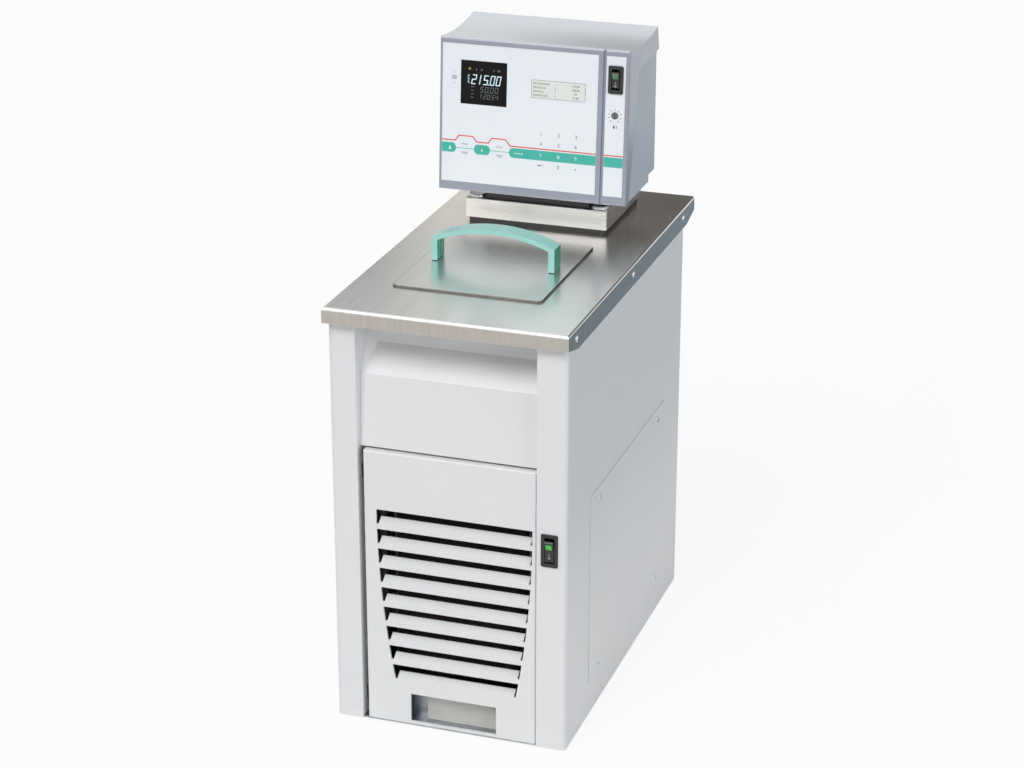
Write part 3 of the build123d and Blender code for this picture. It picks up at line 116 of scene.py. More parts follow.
class Body(Enum):
    """The frame's moving bodies."""

    FRAME = "frame"
    LID = "lid_group"
    GRILLE = "grille"
    MAINS_ROCKER = "mains_rocker"
    HEAD_ROCKER = "head_rocker_key"
    CUTOUT_DIAL = "cutout_dial"
    TAP_KNOB = "tap_knob"
    FAN = "fan"
    PUMP = "pump"
    FLOAT = "float"
    CAP_LEFT = "cap_left"
    CAP_RIGHT = "cap_right"


class Grain(Enum):
    """The way that a brushed surface's scratches run."""

    ALONG_X = (0.012, 1.0, 1.0)
    FOLDED = (1.0, 0.012, 0.012)
    ALONG_Z = (1.0, 1.0, 0.012)


# Node trees


class Signal:
    """A number that a node tree computes, with its arithmetic written as Python."""

    def __init__(self, tree: bpy.types.NodeTree, socket: bpy.types.NodeSocket) -> None:
        """Wraps a socket of a tree."""
        self.tree = tree
        self.socket = socket

    def _maths(self, operation: str, first: Any, second: Any = None) -> Signal:
        """Adds one Math node.

        Args:
            operation: The node's operation.
            first: Its first value, a Signal or a number.
            second: Its second value, where it has one.

        Returns:
            The result.
        """
        node = self.tree.nodes.new("ShaderNodeMath")
        node.operation = operation
        for slot, value in zip(node.inputs, (first, second)):
            if isinstance(value, Signal):
                self.tree.links.new(value.socket, slot)
            elif value is not None:
                slot.default_value = value
        return Signal(self.tree, node.outputs[0])

    def __add__(self, other: Any) -> Signal:
        """Adds."""
        return self._maths("ADD", self, other)

    def __sub__(self, other: Any) -> Signal:
        """Subtracts."""
        return self._maths("SUBTRACT", self, other)

    def __rsub__(self, other: Any) -> Signal:
        """Subtracts from a number."""
        return self._maths("SUBTRACT", other, self)

    def __mul__(self, other: Any) -> Signal:
        """Multiplies."""
        return self._maths("MULTIPLY", self, other)

    def __truediv__(self, other: Any) -> Signal:
        """Divides."""
        return self._maths("DIVIDE", self, other)

    __radd__ = __add__
    __rmul__ = __mul__

    def sine(self) -> Signal:
        """Returns the sine of the number in radians."""
        return self._maths("SINE", self)

    def size(self) -> Signal:
        """Returns the number without its sign."""
        return self._maths("ABSOLUTE", self)

    def larger(self, other: Any) -> Signal:
        """Returns the larger of two numbers."""
        return self._maths("MAXIMUM", self, other)

    def between(self, low: float, high: float) -> Signal:
        """Rises smoothly from 0 at low to 1 at high.

        Args:
            low: The value that gives 0.
            high: The value that gives 1; below low turns the ramp round.

        Returns:
            The ramp, held at its ends.
        """
        node = self.tree.nodes.new("ShaderNodeMapRange")
        node.interpolation_type = "SMOOTHSTEP"
        self.tree.links.new(self.socket, node.inputs["Value"])
        node.inputs["From Min"].default_value = min(low, high)
        node.inputs["From Max"].default_value = max(low, high)
        node.inputs["To Min"].default_value = 0.0 if low < high else 1.0
        node.inputs["To Max"].default_value = 1.0 if low < high else 0.0
        return Signal(self.tree, node.outputs["Result"])


class Loom:
    """Adds nodes to a tree: the kind, its settings first, then its sockets."""

    def __init__(self, tree: bpy.types.NodeTree) -> None:
        """Starts with an empty tree."""
        self.tree = tree
        self.tree.nodes.clear()

    def add(self, kind: str, settings: dict[str, Any] | None = None,
            sockets: dict[str | int, Any] | None = None) -> bpy.types.Node:
        """Adds one node.

        Args:
            kind: The node's type.
            settings: Its properties, set before its sockets.
            sockets: Values or links, by the socket's name or place.

        Returns:
            The node.
        """
        node = self.tree.nodes.new(kind)
        for name, value in (settings or {}).items():
            setattr(node, name, value)
        for key, value in (sockets or {}).items():
            self.feed(node.inputs[key], value)
        return node

    def feed(self, slot: bpy.types.NodeSocket, value: Any) -> None:
        """Links a Signal, socket or node into a slot, or sets a plain value."""
        if isinstance(value, Signal):
            self.tree.links.new(value.socket, slot)
        elif isinstance(value, bpy.types.NodeSocket):
            self.tree.links.new(value, slot)
        elif isinstance(value, bpy.types.Node):
            self.tree.links.new(value.outputs[0], slot)
        elif isinstance(value, tuple) and len(value) == 3 and slot.type == "RGBA":
            slot.default_value = (*value, 1.0)
        else:
            slot.default_value = value


class Recipe(Loom):
    """The node tree of one material round a single surface shader."""

    def __init__(self, name: str) -> None:
        """Makes the material, its shader and its object coordinates."""
        self.material = bpy.data.materials.new(name)
        self.material.use_nodes = True
        super().__init__(self.material.node_tree)
        self.shader = self.add("ShaderNodeBsdfPrincipled")
        self.output = self.add("ShaderNodeOutputMaterial", None, {"Surface": self.shader})
        self.place = self.add("ShaderNodeTexCoord").outputs["Object"]
        split = self.add("ShaderNodeSeparateXYZ", None, {0: self.place})
        self.x, self.y, self.z = (Signal(self.tree, split.outputs[i]) for i in range(3))

    def sideways(self) -> Signal:
        """Returns how far the surface faces along X, from 0 to 1."""
        return self.facing(0)

    def upright(self) -> Signal:
        """Returns how far the surface faces up or down, from 0 to 1."""
        return self.facing(2)

    def facing(self, axis: int) -> Signal:
        """Returns how far the surface faces along an axis, from 0 to 1."""
        normal = self.place.node.outputs["Normal"]
        split = self.add("ShaderNodeSeparateXYZ", None, {0: normal})
        return Signal(self.tree, split.outputs[axis]).size()

    def stretched(self, scale: Point3) -> bpy.types.NodeSocket:
        """Returns the object coordinates multiplied by a scale on each axis."""
        node = self.add("ShaderNodeMapping", None, {"Vector": self.place, "Scale": scale})
        return node.outputs["Vector"]

    def noise(self, scale: float, detail: float = 3.0,
              stretch: Point3 | None = None) -> Signal:
        """Adds a noise.

        Args:
            scale: Features per metre.
            detail: Octaves.
            stretch: Scale on each axis, for streaks.

        Returns:
            The noise, about 0.5 on average.
        """
        where = self.stretched(stretch) if stretch else self.place
        node = self.add("ShaderNodeTexNoise", None,
                        {"Vector": where, "Scale": scale, "Detail": detail})
        return Signal(self.tree, node.outputs["Fac"])

    def cells(self, scale: float, feature: str = "F1") -> bpy.types.Node:
        """Adds a cell pattern with scale cells a metre."""
        return self.add("ShaderNodeTexVoronoi", {"feature": feature},
                        {"Vector": self.place, "Scale": scale})

    def blend(self, mask: Signal, first: Any, second: Any) -> bpy.types.NodeSocket:
        """Mixes two colours.

        Args:
            mask: 0 gives the first, 1 the second.
            first: A colour or a link to one.
            second: A colour or a link to one.

        Returns:
            The mixed colour.
        """
        node = self.add("ShaderNodeMix", {"data_type": "RGBA"},
                        {0: mask, 6: first, 7: second})
        return node.outputs[2]

    def bump(self, height: Signal, depth: float, strength: float = 1.0) -> None:
        """Raises the surface by a height, depth in metres at a height of 1."""
        node = self.add("ShaderNodeBump", None,
                        {"Height": height, "Distance": depth, "Strength": strength})
        self.feed(self.shader.inputs["Normal"], node)

    def set(self, **values: Any) -> None:
        """Sets the shader's sockets; an underscore in a name stands for a space."""
        for name, value in values.items():
            self.feed(self.shader.inputs[name.replace("_", " ")], value)


class Growth(Loom):
    """A Geometry Nodes tree that is run once and leaves a plain mesh."""

    def __init__(self, name: str, inputs: dict[str, tuple[str, Any]]) -> None:
        """Makes the group.

        Args:
            name: The tree's name.
            inputs: The named inputs: the socket's kind and its value.
        """
        tree = bpy.data.node_groups.new(name, "GeometryNodeTree")
        super().__init__(tree)
        self.values: dict[str, Any] = {}
        face = tree.interface
        face.new_socket(name="Geometry", in_out="INPUT", socket_type="NodeSocketGeometry")
        face.new_socket(name="Geometry", in_out="OUTPUT", socket_type="NodeSocketGeometry")
        for label, (kind, value) in inputs.items():
            socket = face.new_socket(name=label, in_out="INPUT",
                                     socket_type=f"NodeSocket{kind}")
            self.values[socket.identifier] = value
        self.source = self.add("NodeGroupInput")

    def value(self, label: str) -> Signal:
        """Returns one of the named inputs."""
        return Signal(self.tree, self.source.outputs[label])

    def number(self, node: bpy.types.Node, output: str | int = 0) -> Signal:
        """Wraps a node's output for arithmetic."""
        return Signal(self.tree, node.outputs[output])

    def vector(self, x: Any = 0.0, y: Any = 0.0, z: Any = 0.0) -> bpy.types.Node:
        """Joins three numbers into a vector."""
        return self.add("ShaderNodeCombineXYZ", None, {0: x, 1: y, 2: z})

    def run(self, start: bpy.types.Mesh, grown: Any, finish: Finish,
            name: str) -> bpy.types.Object:
        """Ends the tree, evaluates it on a start mesh and keeps the plain result.

        Args:
            start: The mesh that the modifier sits on.
            grown: The node or socket with the geometry, instances or not.
            finish: The finish that the tree sets.
            name: The new piece's name.

        Returns:
            The piece, with no modifier left.
        """
        real = self.add("GeometryNodeRealizeInstances", None, {0: grown})
        painted = self.add("GeometryNodeSetMaterial", None,
                           {"Geometry": real, "Material": finish.material()})
        self.add("NodeGroupOutput", None, {0: painted})
        seed = bpy.data.objects.new(name + "_seed", start)
        link(seed)
        modifier = seed.modifiers.new("Growth", "NODES")
        modifier.node_group = self.tree
        for identifier, value in self.values.items():
            modifier[identifier] = value
        mesh = evaluated(seed)
        mesh.name = name
        seed.modifiers.remove(modifier)
        bpy.data.objects.remove(seed)
        return bpy.data.objects.new(name, mesh)


# Finishes


@dataclass(frozen=True)
class Finish:
    """A named surface finish and the record's material slot that it belongs to."""

    name: str
    slot: str
    colour: Colour

    def material(self) -> bpy.types.Material:
        """Returns the finish's material, made the first time that it is asked for."""
        label = "finish_" + self.name
        known = bpy.data.materials.get(label)
        if known:
            return known
        recipe = Recipe(label)
        self.compose(recipe)
        return recipe.material

    def compose(self, recipe: Recipe) -> None:
        """Fills the material's tree."""
        raise NotImplementedError


@dataclass(frozen=True)
class PowderCoat(Finish):
    """Baked powder paint: fine orange peel, faint mottling and a patchy darkening near the
    floor.
    """

    roughness: float = 0.42
    peel: float = 620.0
    relief: float = 0.00004
    floor_darkening: float = 0.06

    def compose(self, recipe: Recipe) -> None:
        """Fills the material's tree."""
        peel = recipe.noise(self.peel, 2.0)
        cloud = recipe.noise(7.0, 4.0)
        speck = recipe.noise(1900.0, 1.0).between(0.66, 0.72)
        # Patchy darkening of faces less than 6 cm above the floor, towards a darker shade of
        # the paint.
        low = recipe.z.between(0.06, 0.0) * recipe.noise(34.0, 5.0).between(0.35, 0.75)
        warm = (self.colour[0], self.colour[1] * 0.992, self.colour[2] * 0.978)
        tint = recipe.blend(cloud.between(0.3, 0.7), shade(self.colour, 0.975), warm)
        tint = recipe.blend(speck * 0.25, tint, shade(self.colour, 0.7))
        tint = recipe.blend(low * self.floor_darkening * 4, tint, shade(self.colour, 0.72))
        recipe.set(Base_Color=tint, Roughness=cloud * 0.1 + (self.roughness - 0.05),
                   Coat_Weight=0.12)
        recipe.shader.inputs["Coat Roughness"].default_value = 0.22
        recipe.bump(peel, self.relief, 0.55)


@dataclass(frozen=True)
class BrushedSteel(Finish):
    """Stainless sheet: long fine scratches along its grain, smudges and stray marks, and where
    asked painted shade on its faces that are not level.
    """

    grain: Grain = Grain.ALONG_X
    roughness: float = 0.27
    scratches: float = 1500.0
    stain: Colour = (0.42, 0.37, 0.3)
    stained: float = 0.0
    painted_rim_shade: float = 0.0
    relief: float = 0.000004

    def streaks(self, recipe: Recipe, scale: float, detail: float) -> Signal:
        """Returns the scratches; on a folded sheet's side flanges they run along Y.

        Args:
            recipe: The material.
            scale: Scratches per metre across the grain.
            detail: Octaves.

        Returns:
            The scratches, about 0.5 on average.
        """
        along = recipe.noise(scale, detail, self.grain.value)
        if self.grain is not Grain.FOLDED:
            return along
        side = recipe.sideways().between(0.6, 0.8)
        return along * (1 - side) + recipe.noise(scale, detail, (0.012, 0.012, 1.0)) * side

    def compose(self, recipe: Recipe) -> None:
        """Fills the material's tree."""
        fine = self.streaks(recipe, self.scratches, 3.0)
        broad = self.streaks(recipe, self.scratches / 5, 2.0)
        smudge = recipe.noise(13.0, 5.0)
        stray = recipe.noise(90.0, 2.0, (1.0, 7.0, 3.0)).between(0.7, 0.74)
        line = fine * 0.65 + broad * 0.35
        tint = recipe.blend(line.between(0.34, 0.66), shade(self.colour, 0.93), self.colour)
        tint = recipe.blend(smudge.between(0.42, 0.72) * (0.1 + self.stained), tint, self.stain)
        # Painted shade: faces that are not close to level, such as a lid's edges and their
        # rounding, are darkened almost to black in place of a dark reflection.
        if self.painted_rim_shade:
            rim_shade = recipe.upright().between(0.985, 0.9) * self.painted_rim_shade
            tint = recipe.blend(rim_shade, tint, shade(self.colour, 0.08))
        recipe.set(Base_Color=tint, Metallic=1.0,
                   Roughness=line * 0.06 + smudge * 0.08 + stray * 0.02
                   + (self.roughness - 0.07))
        if self.relief:
            recipe.bump(line, self.relief, 0.3)


@dataclass(frozen=True)
class MouldedPlastic(Finish):
    """Injection-moulded plastic with a spark-eroded grain and painted light that makes its
    upper faces paler.
    """

    roughness: float = 0.45
    erosion: float = 1300.0
    relief: float = 0.00005
    coat: float = 0.0
    glow: float = 0.0
    painted_top_light: Colour = (0.72, 0.76, 0.81)
    top_light_share: float = 0.0

    def compose(self, recipe: Recipe) -> None:
        """Fills the material's tree."""
        pits = recipe.noise(self.erosion, 2.0)
        pores = Signal(recipe.tree, recipe.cells(self.erosion * 0.7).outputs["Distance"])
        cloud = recipe.noise(16.0, 4.0)
        tint = recipe.blend(cloud.between(0.3, 0.7), shade(self.colour, 0.95),
                            shade(self.colour, 1.03))
        tint = recipe.blend(pits.between(0.62, 0.78) * 0.3, tint, shade(self.colour, 0.82))
        # Painted light: faces that look up or down are blended towards a paler colour, as light
        # from above makes the upper ones look.
        if self.top_light_share:
            tint = recipe.blend(recipe.upright().between(0.6, 0.95) * self.top_light_share, tint,
                                self.painted_top_light)
        recipe.set(Base_Color=tint,
                   Roughness=pits * 0.12 + cloud * 0.06 + self.roughness - 0.09)
        recipe.shader.inputs["Coat Weight"].default_value = self.coat
        recipe.shader.inputs["Coat Roughness"].default_value = 0.18
        recipe.shader.inputs["Subsurface Weight"].default_value = self.glow
        recipe.shader.inputs["Subsurface Radius"].default_value = (0.4, 1.0, 0.8)
        recipe.shader.inputs["Subsurface Scale"].default_value = 0.006
        recipe.bump(pits * 0.6 + pores * 0.4, self.relief, 0.6)


@dataclass(frozen=True)
class RibbedPlastic(MouldedPlastic):
    """Translucent moulded plastic with painted shade on its faces that look sideways, in
    stripes of painted light and shade across its ribs.
    """

    side_shade: Colour = (0.008, 0.18, 0.08)
    crest: Colour = (0.03, 0.36, 0.23)
    ribs: float = 300.0

    def compose(self, recipe: Recipe) -> None:
        """Fills the material's tree."""
        super().compose(recipe)
        tint = recipe.shader.inputs["Base Color"].links[0].from_socket
        # Painted shade: faces that look along X take a deep green, lighter and darker in turn
        # across the ribs as painted light and shade.
        side = recipe.sideways().between(0.55, 0.8)
        wave = (recipe.y * (self.ribs * 2 * math.pi)).sine() * 0.5 + 0.5
        side_shade = recipe.blend(wave, self.side_shade, self.crest)
        recipe.set(Base_Color=recipe.blend(side, tint, side_shade))


@dataclass(frozen=True)
class PrintedFilm(Finish):
    """Satin film or printing ink: even, with a fine screen-print grain."""

    roughness: float = 0.36
    grain: float = 2400.0

    def compose(self, recipe: Recipe) -> None:
        """Fills the material's tree."""
        grain = recipe.noise(self.grain, 2.0)
        wave = recipe.noise(24.0, 3.0)
        tint = recipe.blend(grain.between(0.35, 0.7), shade(self.colour, 0.965), self.colour)
        recipe.set(Base_Color=tint, Roughness=grain * 0.1 + wave * 0.05 + self.roughness - 0.07)
        recipe.shader.inputs["Coat Weight"].default_value = 0.15
        recipe.shader.inputs["Coat Roughness"].default_value = 0.3
        recipe.bump(grain * 0.4 + wave * 2.0, 0.00004, 0.25)


@dataclass(frozen=True)
class DisplayPane(Finish):
    """A clear glossy pane over a display's dark or pale ground."""

    roughness: float = 0.12
    cell: float = 1500.0
    coat: float = 0.4

    def compose(self, recipe: Recipe) -> None:
        """Fills the material's tree."""
        cells = Signal(recipe.tree, recipe.cells(self.cell).outputs["Distance"])
        haze = recipe.noise(60.0, 4.0)
        tint = recipe.blend(cells.between(0.1, 0.6), shade(self.colour, 1.12),
                            shade(self.colour, 0.92))
        recipe.set(Base_Color=tint, Roughness=haze * 0.1 + self.roughness - 0.05)
        recipe.shader.inputs["Coat Weight"].default_value = self.coat
        recipe.shader.inputs["Coat Roughness"].default_value = 0.05
        recipe.shader.inputs["Specular IOR Level"].default_value = self.coat
        recipe.bump(haze, 0.00003, 0.12)


@dataclass(frozen=True)
class GlowingMark(Finish):
    """A lit segment or lamp, brighter in its middle than in its grain."""

    strength: float = 0.8
    roughness: float = 0.3

    def compose(self, recipe: Recipe) -> None:
        """Fills the material's tree."""
        grain = recipe.noise(1700.0, 2.0).between(0.25, 0.6)
        light = recipe.blend(grain, shade(self.colour, 0.72), self.colour)
        recipe.set(Base_Color=shade(self.colour, 0.5), Emission_Color=light,
                   Roughness=grain * 0.1 + self.roughness)
        recipe.shader.inputs["Emission Strength"].default_value = self.strength


@dataclass(frozen=True)
class CastMetal(Finish):
    """Bare sheet, tube or plated metal with cloudy tarnish."""

    roughness: float = 0.35
    tarnish: Colour = (0.2, 0.18, 0.16)
    tarnished: float = 0.3
    crystals: float = 160.0

    def compose(self, recipe: Recipe) -> None:
        """Fills the material's tree."""
        cloud = recipe.noise(46.0, 5.0)
        flake = recipe.cells(self.crystals).outputs["Color"]
        split = recipe.add("ShaderNodeSeparateColor", None, {0: flake})
        spangle = Signal(recipe.tree, split.outputs[0])
        tint = recipe.blend(spangle, shade(self.colour, 0.88), shade(self.colour, 1.05))
        tint = recipe.blend(cloud.between(0.42, 0.75) * self.tarnished, tint, self.tarnish)
        recipe.set(Base_Color=tint, Metallic=1.0,
                   Roughness=cloud * 0.3 + spangle * 0.1 + (self.roughness - 0.18))
        recipe.bump(recipe.noise(500.0, 3.0), 0.00004, 0.4)


@dataclass(frozen=True)
class Rubber(Finish):
    """Matt rubber or foam rubber with a chalky bloom."""

    roughness: float = 0.78
    pore: float = 700.0
    relief: float = 0.0001

    def compose(self, recipe: Recipe) -> None:
        """Fills the material's tree."""
        pores = Signal(recipe.tree, recipe.cells(self.pore).outputs["Distance"])
        bloom = recipe.noise(60.0, 5.0)
        tint = recipe.blend(bloom.between(0.45, 0.75), self.colour, shade(self.colour, 1.5))
        tint = recipe.blend(pores.between(0.35, 0.05) * 0.5, tint, shade(self.colour, 0.6))
        recipe.set(Base_Color=tint, Roughness=bloom * 0.15 + self.roughness - 0.08)
        recipe.bump(pores, self.relief, 0.5)


@dataclass(frozen=True)
class CircuitBoard(Finish):
    """Green solder mask with the copper tracks showing under it."""

    def compose(self, recipe: Recipe) -> None:
        """Fills the material's tree."""
        tracks = recipe.add("ShaderNodeTexBrick", {"offset": 0.5}, {
            "Vector": recipe.place, "Scale": 160.0, "Mortar Size": 0.06,
            "Color1": self.colour, "Color2": shade(self.colour, 0.8),
            "Mortar": shade(self.colour, 1.9)})
        grain = recipe.noise(900.0, 3.0)
        recipe.set(Base_Color=recipe.blend(grain * 0.3, tracks.outputs[0],
                                           shade(self.colour, 0.5)),
                   Roughness=grain * 0.12 + 0.22)
        recipe.bump(grain, 0.00004, 0.3)


PAINT = PowderCoat("cabinet_paint", "pale_paint", srgb(230, 231, 233))
BLADE_PAINT = PowderCoat("grille_paint", "pale_paint", srgb(230, 231, 232), floor_darkening=0.03)
KICK_PAINT = PowderCoat("kick_paint", "pale_paint", srgb(214, 212, 208), floor_darkening=0.14)
PLATE_STEEL = BrushedSteel("plate_steel", "stainless", srgb(236, 234, 230), Grain.FOLDED,
                           roughness=0.25, relief=0.0)
# The lid's steel darkens its edge faces: painted shade for the dark reflection there.
LID_STEEL = BrushedSteel("lid_steel", "stainless", srgb(236, 235, 231), Grain.FOLDED,
                         roughness=0.25, painted_rim_shade=0.9, relief=0.0)
BASE_STEEL = BrushedSteel("base_steel", "stainless", srgb(228, 226, 224), Grain.ALONG_X,
                          roughness=0.28)
TUBE_STEEL = BrushedSteel("tube_steel", "stainless", srgb(200, 202, 203), Grain.ALONG_Z,
                          roughness=0.24, stained=0.18)
SCREW_STEEL = BrushedSteel("screw_steel", "stainless", srgb(206, 208, 212), Grain.ALONG_Z,
                           roughness=0.24, scratches=2600.0)
# The hood's top carries painted light that makes it paler than its front and sides.
HOOD_PLASTIC = MouldedPlastic("hood_plastic", "hood_plastic", srgb(148, 153, 167),
                              roughness=0.42, coat=0.8, top_light_share=0.95)
CASING_PLASTIC = MouldedPlastic("casing_plastic", "casing_plastic", srgb(176, 186, 197),
                                roughness=0.44, coat=0.12)
DARK_PLASTIC = MouldedPlastic("dark_plastic", "dark_plastic", srgb(44, 43, 43),
                              roughness=0.48)
DIAL_PLASTIC = MouldedPlastic("dial_plastic", "dark_plastic", srgb(104, 108, 110),
                              roughness=0.5)
BLACK_PLASTIC = MouldedPlastic("black_plastic", "black_plastic", srgb(30, 31, 33),
                               roughness=0.34, coat=0.25)
WHITE_PLASTIC = MouldedPlastic("white_plastic", "white_plastic", srgb(226, 226, 220),
                               roughness=0.42)
# The handle's and the drain knob's faces that look sideways carry painted shade.
HANDLE_GREEN = RibbedPlastic("handle_green", "handle_green", srgb(148, 205, 198),
                             roughness=0.3, coat=0.35, glow=0.1)
FOIL = PrintedFilm("foil_film", "foil", srgb(236, 241, 246))
TEAL_INK = PrintedFilm("teal_ink", "foil", srgb(64, 182, 166), roughness=0.34)
RED_INK = PrintedFilm("red_ink", "foil", srgb(220, 70, 66), roughness=0.34)
GREY_INK = PrintedFilm("grey_ink", "foil", srgb(104, 110, 120), roughness=0.4)
DARK_INK = PrintedFilm("dark_ink", "foil", srgb(64, 68, 74), roughness=0.4)
PALE_INK = PrintedFilm("pale_ink", "foil", srgb(232, 244, 243), roughness=0.4)
VFD_PANE = DisplayPane("vfd_pane", "display", srgb(20, 15, 15), coat=0.1)
LCD_PANE = DisplayPane("lcd_pane", "display", srgb(232, 236, 232), roughness=0.3)
LCD_INK = PrintedFilm("lcd_segments", "display", srgb(34, 40, 40), roughness=0.4)
VFD_BRIGHT = GlowingMark("vfd_bright", "display", srgb(205, 228, 236), strength=0.8)
VFD_DIM = GlowingMark("vfd_dim", "display", srgb(112, 120, 124), strength=0.35)
VFD_AMBER = GlowingMark("vfd_amber", "display", srgb(186, 170, 60), strength=0.7)
GREEN_LAMP = GlowingMark("green_lamp", "black_plastic", srgb(60, 190, 70), strength=0.55)
DEEP_LAMP = GlowingMark("deep_green_lamp", "black_plastic", srgb(16, 118, 74), strength=0.5)
SWITCH_MARK = PrintedFilm("switch_mark", "black_plastic", srgb(206, 210, 212))
RUBBER = Rubber("foot_rubber", "black_rubber", srgb(40, 40, 41))
FOAM = Rubber("insulation_foam", "foam", srgb(226, 212, 158), roughness=0.85, pore=420.0,
              relief=0.0006)
ZINC = CastMetal("zinc_sheet", "zinc_sheet", srgb(176, 181, 186), crystals=240.0)
COPPER = CastMetal("copper_tube", "copper", srgb(214, 138, 100),
                   tarnish=srgb(120, 66, 44), tarnished=0.6, crystals=400.0)
# Black paint on the condenser, partly its own finish and partly painted shade for the darkness
# behind the louvres.
CONDENSER_BLACK_AND_SHADE = PowderCoat("fin_paint", "fins", srgb(46, 48, 50), roughness=0.5)
ENAMEL = PowderCoat("black_enamel", "steel_black", srgb(34, 35, 38), roughness=0.3,
                    relief=0.00006)
BOARD = CircuitBoard("circuit_board", "board", srgb(34, 116, 62))


# Meshes


def put(piece: bpy.types.Object, finish: Finish, body: Body,
        stands_for: Sequence[str] = ()) -> bpy.types.Object:
    """Links a piece, gives it its finish and body, and reports it.

    Args:
        piece: The finished object, at the origin.
        finish: The finish of its first material slot.
        body: The body that it moves with.
        stands_for: The CAD nodes that it replaces.

    Returns:
        The piece.
    """
    if piece.name not in bpy.context.scene.collection.objects:
        link(piece)
    if piece.data.materials:
        piece.data.materials[0] = finish.material()
    else:
        piece.data.materials.append(finish.material())
    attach(piece, body.value)
    if stands_for:
        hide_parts(*stands_for)
    LOG.info("%s rides on %s, finish %s", piece.name, body.value, finish.name)
    return piece


def dress(finish: Finish, *nodes: str) -> None:
    """Gives CAD nodes a finish and leaves their meshes alone.

    Args:
        finish: The finish.
        nodes: The nodes' names.
    """
    for name in nodes:
        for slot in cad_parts[name].material_slots:
            slot.material = finish.material()
        LOG.info("%s keeps its CAD mesh, finish %s", name, finish.name)


def merged(node: str, flat: float = 0.6) -> bmesh.types.BMesh:
    """Returns a CAD node's mesh with its doubles merged and its flat faces joined.

    Args:
        node: The node.
        flat: The angle in degrees below which triangles are joined.

    Returns:
        The mesh in memory.
    """
    mesh = bmesh.new()
    mesh.from_mesh(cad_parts[node].data)
    bmesh.ops.remove_doubles(mesh, verts=mesh.verts, dist=DOUBLES)
    bmesh.ops.dissolve_limit(mesh, angle_limit=math.radians(flat), verts=mesh.verts,
                             edges=mesh.edges, delimit={"NORMAL"})
    bmesh.ops.recalc_face_normals(mesh, faces=mesh.faces)
    return mesh


def as_piece(mesh: bmesh.types.BMesh, name: str) -> bpy.types.Object:
    """Turns a mesh in memory into an object with smooth faces."""
    data = smoothed(stored(mesh, name))
    data.materials.clear()
    return bpy.data.objects.new(name, data)


def settled(piece: bpy.types.Object, crease: float = 34.0) -> bpy.types.Object:
    """Makes a piece's modifiers plain, with no face of over four corners and even shading.

    Args:
        piece: The piece, which is replaced.
        crease: The angle in degrees from which an edge stays sharp.

    Returns:
        The plain piece, not yet linked.
    """
    link(piece)
    data = evaluated(piece)
    name = piece.name
    bpy.data.objects.remove(piece)
    mesh = bmesh.new()
    mesh.from_mesh(data)
    bmesh.ops.remove_doubles(mesh, verts=mesh.verts, dist=DOUBLES)
    bmesh.ops.recalc_face_normals(mesh, faces=mesh.faces)
    wide = [face for face in mesh.faces if len(face.verts) > 4]
    bmesh.ops.triangulate(mesh, faces=wide, quad_method="BEAUTY", ngon_method="BEAUTY")
    mesh.to_mesh(data)
    mesh.free()
    smoothed(data).set_sharp_from_angle(angle=math.radians(crease))
    carrier = bpy.data.objects.new(name, data)
    weigh = carrier.modifiers.new("Shading", "WEIGHTED_NORMAL")
    weigh.keep_sharp = True
    weigh.weight = 90
    link(carrier)
    shaded = evaluated(carrier)
    bpy.data.objects.remove(carrier)
    bpy.data.meshes.remove(data)
    return bpy.data.objects.new(name, shaded)


def rounded(piece: bpy.types.Object, width: float, segments: int = 2,
            angle: float = 32.0) -> bpy.types.Object:
    """Rounds a piece's sharp edges and makes it plain.

    Args:
        piece: The piece.
        width: The bevel's width in millimetres.
        segments: How many faces go round an edge.
        angle: The smallest angle between faces that counts as an edge.

    Returns:
        The piece.
    """
    bevel = piece.modifiers.new("Edges", "BEVEL")
    bevel.width = width * MM
    bevel.segments = segments
    bevel.limit_method = "ANGLE"
    bevel.angle_limit = math.radians(angle)
    return settled(piece)


def soften(node: str, width: float, finish: Finish, body: Body = Body.FRAME,
           segments: int = 2) -> bpy.types.Object:
    """Replaces a CAD node by its own shape with rounded edges.

    Args:
        node: The node.
        width: The rounding in millimetres.
        finish: The finish.
        body: The node's body.
        segments: How many faces go round an edge.

    Returns:
        The new piece.
    """
    piece = as_piece(merged(node), node + "_dressed")
    return put(rounded(piece, width, segments), finish, body, (node,))


